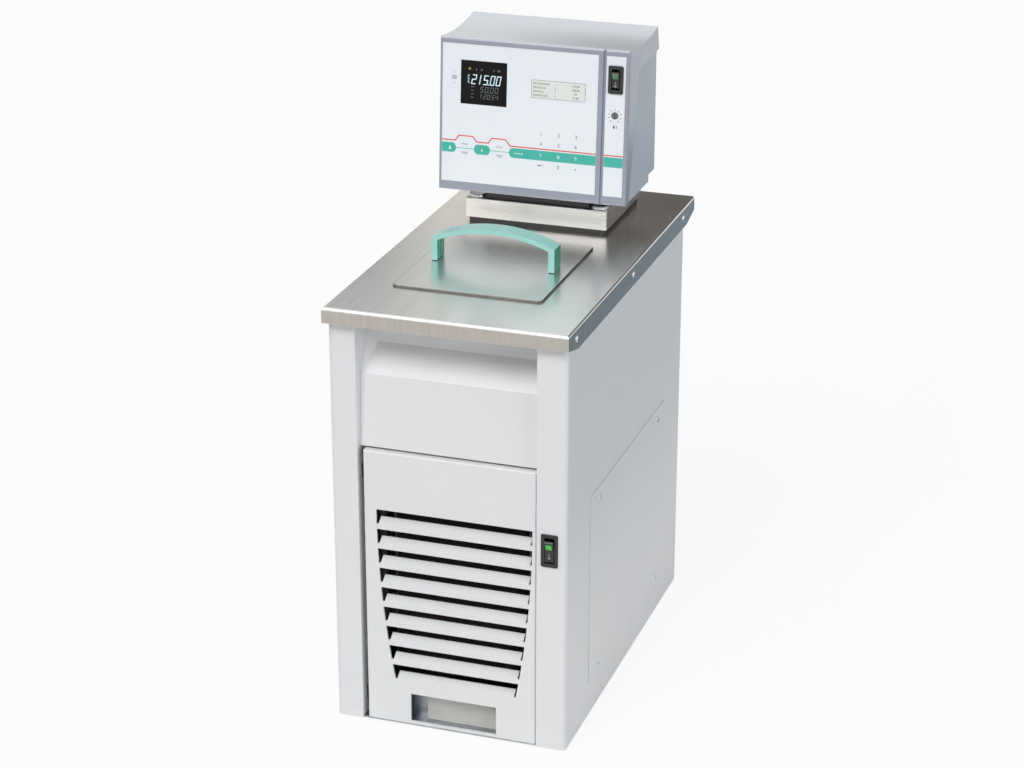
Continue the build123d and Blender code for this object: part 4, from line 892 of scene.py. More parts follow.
class Sketch:
    """Flat shapes in millimetres on a placed plane, raised into thin solids."""

    def __init__(self, plane: Matrix, thickness: float, sunk: float = 0.04) -> None:
        """Starts an empty sketch.

        Args:
            plane: The plane's matrix, with metres for its place.
            thickness: How far the shapes stand out of the plane, in millimetres.
            sunk: How far they reach into it.
        """
        self.plane = plane
        self.top = thickness
        self.low = -sunk
        self.mesh = bmesh.new()

    def _lift(self, x: float, y: float, z: float) -> Vector:
        """Turns a sketch point into the frame's coordinates."""
        return self.plane @ Vector((x * MM, y * MM, z * MM))

    def polygon(self, points: Sequence[Point2]) -> None:
        """Adds a raised outline, its points anticlockwise or clockwise."""
        upper = [self.mesh.verts.new(self._lift(x, y, self.top)) for x, y in points]
        lower = [self.mesh.verts.new(self._lift(x, y, self.low)) for x, y in points]
        self.mesh.faces.new(upper)
        self.mesh.faces.new(lower[::-1])
        for index in range(len(points)):
            after = (index + 1) % len(points)
            self.mesh.faces.new((upper[index], lower[index], lower[after], upper[after]))

    def bar(self, x0: float, x1: float, y0: float, y1: float, slant: float = 0.0) -> None:
        """Adds a rectangle, its top moved sideways by slant."""
        self.polygon([(x0, y0), (x1, y0), (x1 + slant, y1), (x0 + slant, y1)])

    def pill(self, x0: float, x1: float, y0: float, y1: float, left: bool = True,
             right: bool = True, steps: int = 8) -> None:
        """Adds a bar whose chosen ends are round.

        Args:
            x0: The left end.
            x1: The right end.
            y0: The lower edge.
            y1: The upper edge.
            left: Whether the left end is round.
            right: Whether the right end is round.
            steps: Points on a round end.
        """
        half, middle = (y1 - y0) / 2, (y0 + y1) / 2
        points: list[Point2] = []
        for side, end, is_round in ((1, x1, right), (-1, x0, left)):
            if not is_round:
                points += [(end, middle - side * half), (end, middle + side * half)]
                continue
            for step in range(steps + 1):
                turn = math.pi * (step / steps - 0.5)
                points.append((end - side * half * 0.8 * (1 - math.cos(turn)),
                               middle + side * half * math.sin(turn)))
        self.polygon(points)

    def disc(self, x: float, y: float, radius: float, steps: int = 20,
             hole: float = 0.0) -> None:
        """Adds a disc, or a ring where it has a hole."""
        turns = [2 * math.pi * step / steps for step in range(steps)]
        if not hole:
            self.polygon([(x + radius * math.cos(t), y + radius * math.sin(t))
                          for t in turns])
            return
        for first, second in zip(turns, turns[1:] + turns[:1]):
            self.polygon([(x + radius * math.cos(first), y + radius * math.sin(first)),
                          (x + radius * math.cos(second), y + radius * math.sin(second)),
                          (x + hole * math.cos(second), y + hole * math.sin(second)),
                          (x + hole * math.cos(first), y + hole * math.sin(first))])

    def stroke(self, points: Sequence[Point2], width: float) -> None:
        """Adds a line of constant width through points, mitred at its corners."""
        sides: list[tuple[Point2, Point2]] = []
        for index, (x, y) in enumerate(points):
            before = points[max(index - 1, 0)]
            after = points[min(index + 1, len(points) - 1)]
            first = Vector((x - before[0], y - before[1]))
            second = Vector((after[0] - x, after[1] - y))
            first = first.normalized() if first.length else second.normalized()
            second = second.normalized() if second.length else first
            middle = (first + second).normalized()
            across = Vector((-middle.y, middle.x)) * (width / 2 / max(middle.dot(first), 0.4))
            sides.append(((x + across.x, y + across.y), (x - across.x, y - across.y)))
        left = [pair[0] for pair in sides]
        right = [pair[1] for pair in sides]
        self.polygon(right + left[::-1])

    def drop(self, x: float, y: float, width: float, height: float) -> None:
        """Adds a drop shape that stands on its round end."""
        points = [(x, y + height / 2)]
        for step in range(11):
            turn = math.pi * (0.16 - 1.32 * step / 10)
            points.append((x + width / 2 * math.cos(turn),
                           y - height / 2 + width / 2 * (1 + math.sin(turn))))
        self.polygon(points)

    def words(self, text: str, x: float, y: float, height: float, slant: float = 0.0) -> None:
        """Adds numerals, centred on a point.

        Args:
            text: The numerals.
            x: The middle.
            y: The middle of their height.
            height: The numerals' height.
            slant: The shear of italic figures.
        """
        curve = bpy.data.curves.new("numerals", "FONT")
        curve.body = text
        curve.size = height * MM / 0.7
        curve.align_x = "CENTER"
        curve.shear = slant
        curve.resolution_u = 3
        curve.extrude = (self.top - self.low) * MM / 2
        carrier = bpy.data.objects.new("numerals", curve)
        link(carrier)
        mesh = evaluated(carrier)
        shift = Matrix.Translation((x * MM, (y - height / 2) * MM,
                                    (self.top + self.low) * MM / 2))
        mesh.transform(self.plane @ shift)
        bpy.data.objects.remove(carrier)
        bpy.data.curves.remove(curve)
        self.mesh.from_mesh(mesh)
        bpy.data.meshes.remove(mesh)

    def piece(self, name: str, finish: Finish, body: Body) -> bpy.types.Object:
        """Ends the sketch and returns its piece, riding on a body."""
        bmesh.ops.remove_doubles(self.mesh, verts=self.mesh.verts, dist=DOUBLES)
        bmesh.ops.recalc_face_normals(self.mesh, faces=self.mesh.faces)
        return put(bpy.data.objects.new(name, stored(self.mesh, name)), finish, body)


def basis(right: Point3, up: Point3, out: Point3, origin: Vector) -> Matrix:
    """Returns the matrix of a plane.

    Args:
        right: The direction of its first axis.
        up: The direction of its second axis.
        out: The direction that it faces.
        origin: Its origin, in metres.

    Returns:
        The plane's matrix.
    """
    turn = Matrix((right, up, out)).transposed().to_4x4()
    return Matrix.Translation(origin) @ turn


def lathed(profile: Sequence[Point2], plane: Matrix, steps: int = 24) -> bmesh.types.BMesh:
    """Turns a profile of (radius, height) points in millimetres about a plane's normal.

    Args:
        profile: The points, from the axis or the outer foot to the axis at the top.
        plane: The plane whose normal is the axis.
        steps: Faces round the axis.

    Returns:
        The closed mesh.
    """
    mesh = bmesh.new()
    rings: list[list[bmesh.types.BMVert]] = []
    for radius, height in profile:
        if radius == 0:
            rings.append([mesh.verts.new(plane @ Vector((0, 0, height * MM)))])
            continue
        rings.append([mesh.verts.new(plane @ Vector((
            radius * MM * math.cos(2 * math.pi * step / steps),
            radius * MM * math.sin(2 * math.pi * step / steps), height * MM)))
            for step in range(steps)])
    for lower, upper in zip(rings, rings[1:]):
        for step in range(steps):
            after = (step + 1) % steps
            if len(lower) == 1:
                mesh.faces.new((lower[0], upper[step], upper[after]))
            elif len(upper) == 1:
                mesh.faces.new((lower[step], lower[after], upper[0]))
            else:
                mesh.faces.new((lower[step], lower[after], upper[after], upper[step]))
    bmesh.ops.recalc_face_normals(mesh, faces=mesh.faces)
    return mesh


@dataclass
class ScrewHeads:
    """Low pan-head screws with a cross recess, grown on a node's own places."""

    radius: float = 3.0
    height: float = 1.3
    recess: float = 0.5
    seed: int = 7

    def pattern(self) -> bpy.types.Object:
        """Returns one screw head at the origin, facing +Z."""
        crown = [(self.radius, 0.0), (self.radius, self.height * 0.25),
                 (self.radius * 0.92, self.height * 0.62),
                 (self.radius * 0.7, self.height * 0.9), (self.radius * 0.42, self.height)]
        mesh = lathed([(0.0, 0.0), *crown, (0.0, self.height)], Matrix.Identity(4), 20)
        piece = as_piece(mesh, "screw_pattern")
        slot = bmesh.new()
        for turn in (0.0, math.pi / 2):
            size = Matrix.Diagonal((self.radius * 1.15 * MM, self.radius * 0.24 * MM,
                                    self.recess * 2 * MM, 1.0))
            bmesh.ops.create_cube(slot, size=1.0, matrix=Matrix.Translation(
                (0, 0, self.height * MM)) @ Matrix.Rotation(turn, 4, "Z") @ size)
        cutter = as_piece(slot, "screw_recess")
        link(piece, cutter)
        cut = piece.modifiers.new("Recess", "BOOLEAN")
        cut.object = cutter
        cut.solver = "EXACT"
        cut.use_self = True
        head = evaluated(piece)
        for each in (piece, cutter):
            bpy.data.objects.remove(each)
        head.set_sharp_from_angle(angle=math.radians(40))
        return bpy.data.objects.new("screw_head", head)

    def grow(self, node: str, places: Sequence[Point3],
             facing: Callable[[Point3], Point3]) -> bpy.types.Object:
        """Grows the screws of one node and replaces it.

        Args:
            node: The CAD node that holds the screws.
            places: Where each screw sits, in metres.
            facing: Gives the direction that a screw at a place faces.

        Returns:
            The piece.
        """
        head = self.pattern()
        link(head)
        points = bpy.data.meshes.new(node + "_places")
        points.from_pydata([tuple(place) for place in places], [], [])
        facings = points.attributes.new("facing", "FLOAT_VECTOR", "POINT")
        facings.data.foreach_set("vector", [v for place in places for v in facing(place)])
        growth = Growth(node + "_growth", {"Head": ("Object", head), "Scale": ("Float", 1.0),
                                           "Seed": ("Int", self.seed)})
        shape = growth.add("GeometryNodeObjectInfo", None, {"Object": growth.value("Head")})
        towards = growth.add("GeometryNodeInputNamedAttribute", {"data_type": "FLOAT_VECTOR"},
                             {"Name": "facing"})
        lean = growth.add("FunctionNodeAlignRotationToVector", {"axis": "Z"},
                          {"Vector": towards.outputs[0]})
        spin = growth.add("FunctionNodeRandomValue", {"data_type": "FLOAT"},
                          {2: 0.0, 3: math.pi, "Seed": growth.value("Seed")})
        turn = growth.add("FunctionNodeAxisAngleToRotation", None,
                          {"Axis": (0.0, 0.0, 1.0), "Angle": spin.outputs[1]})
        pose = growth.add("FunctionNodeRotateRotation", {"rotation_space": "LOCAL"},
                          {0: lean, 1: turn})
        heads = growth.add("GeometryNodeInstanceOnPoints", None, {
            "Points": growth.source.outputs[0], "Instance": shape.outputs["Geometry"],
            "Rotation": pose, "Scale": growth.value("Scale")})
        piece = growth.run(points, heads, SCREW_STEEL, node + "_grown")
        bpy.data.objects.remove(head)
        return put(piece, SCREW_STEEL, Body.FRAME, (node,))


def box_corners(node: str, inset: float) -> dict[str, float]:
    """Returns a node's box pulled in by an inset in millimetres, as x0, x1, y0, y1, z0, z1."""
    low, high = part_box(node)
    room = inset * MM
    return {"x0": low[0] + room, "x1": high[0] - room, "y0": low[1] + room,
            "y1": high[1] - room, "z0": low[2] + room, "z1": high[2] - room}


# Sub-assemblies


@dataclass
class RockerSwitch:
    """A snap-in rocker switch: bezel, tilting key, lamp lens and marks."""

    name: str
    bezel: str
    key: str
    body: Body
    plane: Matrix
    height: float
    lens_width: float
    lens_height: float
    lens_at: float
    mark_at: float
    lamp: Finish
    pivot_depth: float = 5.0
    tilt: float = 7.0
    flange: float = 1.2
    rise: float = 2.0
    wall: float = 1.7
    gap: float = 0.4

    def half_plane(self, along: float) -> Matrix:
        """Returns the plane that lies on the key's upper or lower half.

        Args:
            along: Millimetres from the key's middle, up positive.

        Returns:
            The plane, its origin on the key's face.
        """
        reach = self.height / 2 - 2 * self.wall - self.gap
        slope = math.atan2(self.rise, reach)
        pivot = Matrix.Translation((0, 0, -self.pivot_depth * MM))
        turn = Matrix.Rotation(math.radians(self.tilt), 4, "X")
        level = self.flange + abs(along) * self.rise / reach
        spot = Matrix.Translation((0, along * MM, level * MM))
        lean = Matrix.Rotation(math.copysign(slope, along), 4, "X")
        return self.plane @ pivot @ turn @ pivot.inverted() @ spot @ lean

    def build(self) -> None:
        """Builds and dresses the switch."""
        soften(self.bezel, 0.35, BLACK_PLASTIC)
        soften(self.key, 0.3, BLACK_PLASTIC, self.body)
        lens = Sketch(self.half_plane(self.lens_at), 0.22)
        half_w, half_h = self.lens_width / 2, self.lens_height / 2
        lens.polygon([(-half_w, -half_h + 0.4), (-half_w + 0.4, -half_h),
                      (half_w - 0.4, -half_h), (half_w, -half_h + 0.4),
                      (half_w, half_h - 0.4), (half_w - 0.4, half_h),
                      (-half_w + 0.4, half_h), (-half_w, half_h - 0.4)])
        lens.piece(self.name + "_lamp", self.lamp, self.body)
        marks = Sketch(self.half_plane(self.mark_at), 0.05)
        marks.bar(-0.25, 0.25, 1.0, 2.4)
        marks.disc(0, -1.2, 1.05, 20, 0.7)
        marks.piece(self.name + "_marks", SWITCH_MARK, self.body)


@dataclass
class Cabinet:
    """The painted cabinet with its covers, grille and mains switch."""

    shell_edge: float = 0.45
    panel_edge: float = 0.5
    grille_edge: float = 0.4
    screw_radius: float = 3.0
    switch_x: float = 96.5
    switch_z: float = 203.0

    def switch_plane(self) -> Matrix:
        """Returns the plane of the mains switch on the right column."""
        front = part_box("cabinet_shell")[0][1]
        return basis((1, 0, 0), (0, 0, 1), (0, -1, 0),
                     Vector((self.switch_x * MM, front, self.switch_z * MM)))

    def shell(self) -> None:
        """Builds the shell, the covers and what they stand on."""
        soften("cabinet_shell", self.shell_edge, PAINT)
        soften("upper_panel", self.panel_edge, PAINT)
        soften("side_cover", 0.25, PAINT)
        soften("rear_cover", 0.25, PAINT)
        soften("kick_cover", 0.25, KICK_PAINT)
        dress(ZINC, "base_pan")
        dress(DARK_PLASTIC, "grille_clips")
        soften("feet", 0.4, RUBBER)

    def grille(self) -> None:
        """Builds the louvred panel."""
        soften("grille_panel", self.grille_edge, BLADE_PAINT, Body.GRILLE)

    def screws(self) -> None:
        """Grows the screws of the two covers on the places of their nodes."""
        heads = ScrewHeads(self.screw_radius)
        side = box_corners("side_cover_screws", self.screw_radius)
        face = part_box("side_cover")[1][0]
        heads.grow("side_cover_screws",
                   [(face, y, z) for y in (side["y0"], side["y1"])
                    for z in (side["z0"], side["z1"])], lambda place: (1.0, 0.0, 0.0))
        back = box_corners("rear_cover_screws", self.screw_radius)
        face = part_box("rear_cover")[1][1]
        heads.grow("rear_cover_screws",
                   [(x, face, z) for x in (back["x0"], back["x1"])
                    for z in (back["z0"], back["z1"])], lambda place: (0.0, 1.0, 0.0))

    def build(self) -> None:
        """Builds and dresses the cabinet."""
        self.shell()
        self.grille()
        self.screws()
        RockerSwitch("mains_switch", "cabinet_switch_bezel", "cabinet_rocker",
                     Body.MAINS_ROCKER, self.switch_plane(), height=32.0, lens_width=5.4,
                     lens_height=5.2, lens_at=5.2, mark_at=-4.6, lamp=GREEN_LAMP).build()
        soften("cabinet_mains_inlet", 0.5, BLACK_PLASTIC)


@dataclass
class BathTop:
    """The stainless top with its lid, handle and tank."""

    plate_edge: float = 0.3
    lid_edge: float = 0.35
    screw_radius: float = 3.0

    def screws(self) -> None:
        """Grows the three screws of each side flange."""
        room = box_corners("plate_screws", self.screw_radius)
        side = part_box("top_plate")[1][0]
        height = (room["z0"] + room["z1"]) / 2
        middle = (room["y0"] + room["y1"]) / 2
        ScrewHeads(self.screw_radius).grow(
            "plate_screws",
            [(x, y, height) for x in (-side, side) for y in (room["y0"], middle, room["y1"])],
            lambda place: (math.copysign(1.0, place[0]), 0.0, 0.0))

    def build(self) -> None:
        """Builds and dresses the top."""
        soften("top_plate", self.plate_edge, PLATE_STEEL)
        self.screws()
        soften("lid", self.lid_edge, LID_STEEL, Body.LID)
        soften("lid_handle", 0.8, HANDLE_GREEN, Body.LID, 3)
        soften("handle_washers", 0.2, DARK_PLASTIC, Body.LID)
        dress(TUBE_STEEL, "bath_tank", "cooling_coil")
        dress(FOAM, "tank_foam")


@dataclass
class HeadFace:
    """The front of the head, which leans back 10 mm over 147.9 mm, and its foils' plane."""

    lean: float = math.atan2(10.0, 147.9)
    foil_depth: float = 0.3

    def plane(self, x: float, z: float, lift: float = 0.0) -> Matrix:
        """Returns a plane on the foil.

        Args:
            x: Its origin's x in millimetres.
            z: Its origin's height in millimetres.
            lift: Its distance in front of the foil.

        Returns:
            The plane, its second axis up the face.
        """
        up = (0.0, math.sin(self.lean), math.cos(self.lean))
        out = (0.0, -math.cos(self.lean), math.sin(self.lean))
        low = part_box("head_hood")[0]
        foot = Vector((0.0, 40.0 * MM, low[2]))
        rise = (z * MM - low[2] - out[2] * (lift - self.foil_depth) * MM) / up[2]
        spot = foot + Vector(up) * rise + Vector(out) * (lift - self.foil_depth) * MM
        spot.x = x * MM
        return basis((1, 0, 0), up, out, spot)


@dataclass
class SevenSegments:
    """Slanted seven-segment figures drawn into a sketch."""

    height: float
    width: float
    bar: float
    slant: float = 0.16
    advance: float = 7.6
    figures: dict[str, str] = field(default_factory=lambda: {
        "0": "abcdef", "1": "bc", "2": "abged", "3": "abgcd", "4": "fgbc",
        "5": "afgcd", "6": "afgedc", "7": "abc", "8": "abcdefg", "9": "abcdfg"})

    def draw(self, sketch: Sketch, text: str, x: float, y: float) -> None:
        """Draws figures from a left end.

        Args:
            sketch: The sketch that takes the segments.
            text: The figures, with points.
            x: The first figure's left edge.
            y: The figures' foot.
        """
        half = self.height / 2
        gap = self.bar * 0.18
        for character in text:
            if character == ".":
                back = x - self.advance + self.width + self.bar * 0.55
                sketch.bar(back, back + self.bar, y, y + self.bar, self.bar * self.slant)
                x += self.bar * 0.8
                continue
            spans = {
                "a": (gap, self.width - gap, self.height - self.bar, self.height),
                "g": (gap, self.width - gap, half - self.bar / 2, half + self.bar / 2),
                "d": (gap, self.width - gap, 0.0, self.bar),
                "f": (0.0, self.bar, half + gap, self.height - gap),
                "b": (self.width - self.bar, self.width, half + gap, self.height - gap),
                "e": (0.0, self.bar, gap, half - gap),
                "c": (self.width - self.bar, self.width, gap, half - gap)}
            shift = self.width * 0.35 if character == "1" else 0.0
            for segment in self.figures[character]:
                x0, x1, y0, y1 = spans[segment]
                lean = y0 * self.slant - shift
                sketch.bar(x + x0 + lean, x + x1 + lean, y + y0, y + y1,
                           (y1 - y0) * self.slant)
            x += self.advance


@dataclass
class CirculatorHead:
    """The head on its steel base: hood, casing, foils, displays, dial and switch."""

    hood_edge: float = 0.7
    casing_edge: float = 0.8
    ink: float = 0.05
    face: HeadFace = field(default_factory=HeadFace)
    keypad_x: tuple[float, float, float] = (6.7, 24.4, 41.3)
    keypad_z: tuple[float, float, float, float] = (512.0, 502.5, 491.3, 481.6)
    teal_low: float = 486.6
    teal_high: float = 496.0
    foil_left: float = -92.4
    foil_right: float = 61.0
    strip_left: float = 69.0
    strip_right: float = 87.6
    dial_x: float = 78.3
    dial_z: float = 535.6
    hood_foot: float = 449.6
    switch_rise: float = 120.4
    line_width: float = 1.1
    key_figure: float = 3.5

    def sketch(self, lift: float = 0.0, thickness: float | None = None) -> Sketch:
        """Returns a sketch on the face whose y is measured up from the teal band's foot."""
        return Sketch(self.face.plane(0.0, self.teal_low, lift), thickness or self.ink)

    def up(self, z: float) -> float:
        """Returns a height on the face for a height above the floor, in millimetres."""
        return (z - self.teal_low) / math.cos(self.face.lean)

    def housing(self) -> None:
        """Dresses the mouldings, the base and the neck."""
        soften("head_hood", self.hood_edge, HOOD_PLASTIC, segments=3)
        soften("head_casing", self.casing_edge, CASING_PLASTIC, segments=3)
        soften("base_block", 0.4, BASE_STEEL)
        # Dark plastic on the plinth: partly a gasket's colour, partly painted shade for the
        # dark gap under the base.
        soften("base_plinth", 0.3, DARK_PLASTIC)
        soften("head_neck", 0.4, DARK_PLASTIC)
        soften("head_mains_inlet", 0.5, BLACK_PLASTIC)
        dress(FOIL, "main_foil", "strip_foil")
        dress(VFD_PANE, "vfd_window")
        dress(LCD_PANE, "lcd_window")
        self.clamps()

    def clamps(self) -> None:
        """Turns the two knurled clamp screws of the base."""
        low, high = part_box("clamp_screws")
        radius = (high[1] - low[1]) / 2 / MM
        height = (high[2] - low[2]) / MM
        whole = bmesh.new()
        profile = [(0.0, 0.0), (radius * 0.94, 0.0), (radius, 0.5), (radius, height - 0.8),
                   (radius * 0.9, height), (radius * 0.55, height),
                   (radius * 0.45, height - 0.4), (0.0, height - 0.4)]
        for x in (low[0] + radius * MM, high[0] - radius * MM):
            plane = Matrix.Translation((x, (low[1] + high[1]) / 2, low[2]))
            part = lathed(profile, plane, 48)
            for vert in part.verts:
                out = Vector((vert.co.x - x, vert.co.y - (low[1] + high[1]) / 2))
                turn = math.atan2(out.y, out.x)
                if out.length > radius * MM * 0.97 and round(turn * 24 / math.pi) % 2:
                    vert.co.x = x + out.x * 0.965
                    vert.co.y = (low[1] + high[1]) / 2 + out.y * 0.965
            data = stored(part, "clamp")
            whole.from_mesh(data)
            bpy.data.meshes.remove(data)
        piece = as_piece(whole, "clamp_screws_turned")
        piece.data.set_sharp_from_angle(angle=math.radians(35))
        put(piece, SCREW_STEEL, Body.FRAME, ("clamp_screws",))

    def bands(self) -> None:
        """Prints the teal band, its thin link line and the red line above it."""
        low, high = 0.0, self.up(self.teal_high)
        teal = self.sketch()
        teal.pill(self.foil_left, -78.0, low, high, left=False)
        teal.pill(-60.0, -43.8, low, high)
        teal.pill(-24.8, self.foil_right, low, high, right=False)
        teal.bar(self.strip_left, self.strip_right, low, high)
        middle = (low + high) / 2
        teal.bar(-79.0, -59.0, middle - 0.3, middle + 0.3)
        teal.bar(-44.8, -23.8, middle - 0.3, middle + 0.3)
        teal.piece("teal_band", TEAL_INK, Body.FRAME)
        red = self.sketch()
        level, crest = self.up(498.4), self.up(503.4)
        right_level = self.up(497.6)
        red.stroke([(self.foil_left, level), (-78.8, level), (-75.4, crest), (-61.5, crest),
                    (-57.3, level), (-45.7, level), (-42.4, crest), (-28.5, crest),
                    (-23.8, right_level), (self.foil_right, right_level)], self.line_width)
        red.stroke([(self.strip_left, right_level), (self.strip_right, right_level)],
                   self.line_width)
        red.piece("red_line", RED_INK, Body.FRAME)

    def keypad(self) -> None:
        """Prints the ten figures, the entry mark and the point."""
        rows = (("1", "2", "3"), ("4", "5", "6"), ("7", "8", "9"), (None, "0", None))
        grey = self.sketch()
        pale = self.sketch(lift=self.ink)
        for z, row in zip(self.keypad_z, rows):
            target = pale if row[0] == "7" else grey
            for x, figure in zip(self.keypad_x, row):
                if figure:
                    target.words(figure, x, self.up(z), self.key_figure)
        foot = self.up(self.keypad_z[3])
        left = self.keypad_x[0]
        grey.polygon([(left - 3.0, foot), (left - 0.6, foot - 1.1), (left - 0.6, foot + 1.1)])
        grey.bar(left - 0.8, left + 2.6, foot - 0.3, foot + 0.3)
        grey.disc(self.keypad_x[2], foot - 0.6, 0.75)
        grey.piece("keypad_figures", GREY_INK, Body.FRAME)
        for x in (-18.0, -15.0, -12.0):
            pale.bar(x - 1.0, x + 1.0, self.up(491.0) - 0.45, self.up(491.0) + 0.45)
        pale.drop(-84.2, self.up(491.3), 2.2, 4.8)
        pale.drop(-52.0, self.up(491.3), 1.5, 3.4)
        pale.piece("pale_figures", PALE_INK, Body.FRAME)

    def key_marks(self) -> None:
        """Prints the small signs above and below the link line, and the socket sign."""
        grey = self.sketch()
        for center in (-69.0, -34.2):
            upper, lower = self.up(495.3), self.up(487.4)
            grey.stroke([(center - 3.4, upper - 0.7), (center - 2.4, upper + 0.6),
                         (center - 0.2, upper + 0.6), (center + 0.6, upper - 0.7)], 0.45)
            grey.stroke([(center + 0.9, upper - 0.7), (center + 1.7, upper + 0.5),
                         (center + 3.2, upper + 0.5)], 0.45)
            for index in range(4):
                grey.bar(center - 3.0 + index * 1.6, center - 2.0 + index * 1.6,
                         lower - 0.6, lower + 0.5)
            grey.bar(center - 2.0, center + 2.2, lower - 1.7, lower - 1.3)
        grid = self.up(559.0)
        for row in range(3):
            grey.bar(-82.8, -78.6, grid + 1.3 - row * 1.4, grid + 1.75 - row * 1.4)
        for column in range(3):
            grey.bar(-82.8 + column * 1.9, -82.4 + column * 1.9, grid - 1.5, grid + 1.7)
        grey.disc(-80.6, grid + 5.0, 0.4, 10)
        grey.disc(-80.6, grid - 5.0, 0.4, 10)
        grey.piece("key_signs", GREY_INK, Body.FRAME)

    def vfd(self) -> None:
        """Lights the dark display's figures."""
        low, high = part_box("vfd_window")
        left, top = low[0] / MM, high[2] / MM
        bright, dim = self.sketch(lift=0.02), self.sketch(lift=0.02)
        SevenSegments(9.4, 4.5, 0.9, 0.18, 5.9).draw(
            bright, "215.00", left + 10.2, self.up(top - 22.5))
        for index in range(8):
            foot = self.up(top - 21.6) + index * 1.05
            wide = 1.9 if index in (0, 4, 7) else 1.2
            bright.bar(left + 7.0, left + 7.0 + wide, foot, foot + 0.45)
        bright.piece("vfd_figures", VFD_BRIGHT, Body.FRAME)
        SevenSegments(5.6, 3.2, 0.55, 0.18, 4.7).draw(
            dim, "50.00", left + 19.2, self.up(top - 29.9))
        SevenSegments(4.6, 2.7, 0.5, 0.18, 3.9).draw(
            dim, "120.54", left + 18.4, self.up(top - 36.0))
        for index, z in enumerate((25.0, 28.4, 31.8, 35.2)):
            dim.disc(left + 11.4, self.up(top - z), 0.8, 12, 0.45)
            dim.bar(left + 12.8, left + 14.2 - 0.3 * index, self.up(top - z) - 0.2,
                    self.up(top - z) + 0.2)
        for x, wide in ((14.6, 1.6), (19.6, 2.2), (32.2, 1.4), (36.0, 3.4)):
            dim.bar(left + x, left + x + wide, self.up(top - 9.0), self.up(top - 8.4))
            dim.bar(left + x + wide * 0.3, left + x + wide * 0.7, self.up(top - 8.4),
                    self.up(top - 7.0))
        dim.piece("vfd_small_figures", VFD_DIM, Body.FRAME)
        amber = self.sketch(lift=0.02)
        amber.disc(left + 8.8, self.up(top - 7.9), 1.1, 14, 0.5)
        amber.piece("vfd_amber_sign", VFD_AMBER, Body.FRAME)

    def lcd(self) -> None:
        """Prints the pale display's four rows: bars on the left, figures on the right."""
        low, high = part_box("lcd_window")
        left, top = low[0] / MM, high[2] / MM
        rows = self.sketch(lift=0.02)
        figures = ("115.00", "100.00", "50", "12.50")
        for index, (text, count) in enumerate(zip(figures, (8, 6, 5, 7))):
            level = self.up(top - 3.4 - index * 3.7)
            for mark in range(count):
                x = left + 2.0 + mark * 2.1
                rows.bar(x, x + 1.5, level - 0.75, level - 0.4)
                rows.bar(x, x + 0.35, level - 0.4, level + (0.8 if mark % 3 else 1.2))
                rows.bar(x + 0.9, x + 1.5, level + 0.35, level + 0.7)
            rows.disc(left + 23.6, level + 0.45, 0.3, 8)
            rows.disc(left + 23.6, level - 0.45, 0.3, 8)
            rows.words(text, left + 43.6, level, 2.0)
        rows.piece("lcd_rows", LCD_INK, Body.FRAME)
        edge = self.sketch(lift=0.02)
        wide = high[0] / MM - left
        foot, head = self.up(low[2] / MM + 0.2), self.up(top - 0.2)
        edge.bar(left + 0.2, left + wide - 0.2, foot, foot + 0.25)
        edge.bar(left + 0.2, left + wide - 0.2, head - 0.25, head)
        edge.bar(left + 0.2, left + 0.45, foot, head)
        edge.bar(left + wide - 0.45, left + wide - 0.2, foot, head)
        edge.piece("lcd_border", LCD_INK, Body.FRAME)

    def dial(self) -> None:
        """Dresses the slotted adjuster and grows the ticks round it."""
        soften("overtemperature_dial", 0.2, DIAL_PLASTIC, Body.CUTOUT_DIAL)
        dress(DARK_PLASTIC, "dial_unit")
        start = bpy.data.meshes.new("dial_start")
        growth = Growth("dial_ticks", {
            "Count": ("Int", 9), "Radius": ("Float", 6.0 * MM), "Length": ("Float", 1.9 * MM),
            "Width": ("Float", 0.55 * MM), "Sweep": ("Float", math.radians(290))})
        line = growth.add("GeometryNodeMeshLine", None,
                          {"Count": growth.value("Count"), "Offset": (0.0, 0.0, 0.0)})
        index = growth.number(growth.add("GeometryNodeInputIndex"))
        turn = (0.5 - index / (growth.value("Count") - 1)) * growth.value("Sweep")
        rotation = growth.vector(z=turn)
        tick = growth.add("GeometryNodeMeshCube", None, {"Size": growth.vector(
            growth.value("Width"), growth.value("Length"), 2 * self.ink * MM)})
        moved = growth.add("GeometryNodeTransform", None, {
            "Geometry": tick.outputs[0],
            "Translation": growth.vector(y=growth.value("Radius"))})
        ring = growth.add("GeometryNodeInstanceOnPoints", None, {
            "Points": line, "Instance": moved, "Rotation": rotation})
        piece = growth.run(start, ring, GREY_INK, "dial_scale")
        piece.data.transform(self.face.plane(self.dial_x, self.dial_z))
        put(piece, GREY_INK, Body.FRAME)
        signs = self.sketch()
        level = self.up(525.6)
        signs.drop(self.dial_x - 0.6, level, 1.9, 3.8)
        signs.stroke([(self.dial_x + 1.4, level - 1.7), (self.dial_x + 2.4, level - 0.9),
                      (self.dial_x + 1.6, level), (self.dial_x + 2.5, level + 0.9)], 0.4)
        signs.piece("dial_signs", DARK_INK, Body.FRAME)

    def switch(self) -> None:
        """Builds the head's rocker switch."""
        low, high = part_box("head_switch_bezel")
        height = self.hood_foot + self.switch_rise * math.cos(self.face.lean)
        sunk = self.face.foil_depth * math.sin(self.face.lean)
        plane = self.face.plane(self.dial_x, height - sunk)
        RockerSwitch("head_switch", "head_switch_bezel", "head_rocker", Body.HEAD_ROCKER,
                     plane, height=high[2] / MM - low[2] / MM, lens_width=4.4,
                     lens_height=4.6, lens_at=4.2, mark_at=-3.6, lamp=DEEP_LAMP).build()

    def ports(self) -> None:
        """Dresses the pump ports and their hexagonal caps."""
        dress(TUBE_STEEL, "pump_ports")
        soften("port_cap_left", 0.6, DARK_PLASTIC, Body.CAP_LEFT)
        soften("port_cap_right", 0.6, DARK_PLASTIC, Body.CAP_RIGHT)

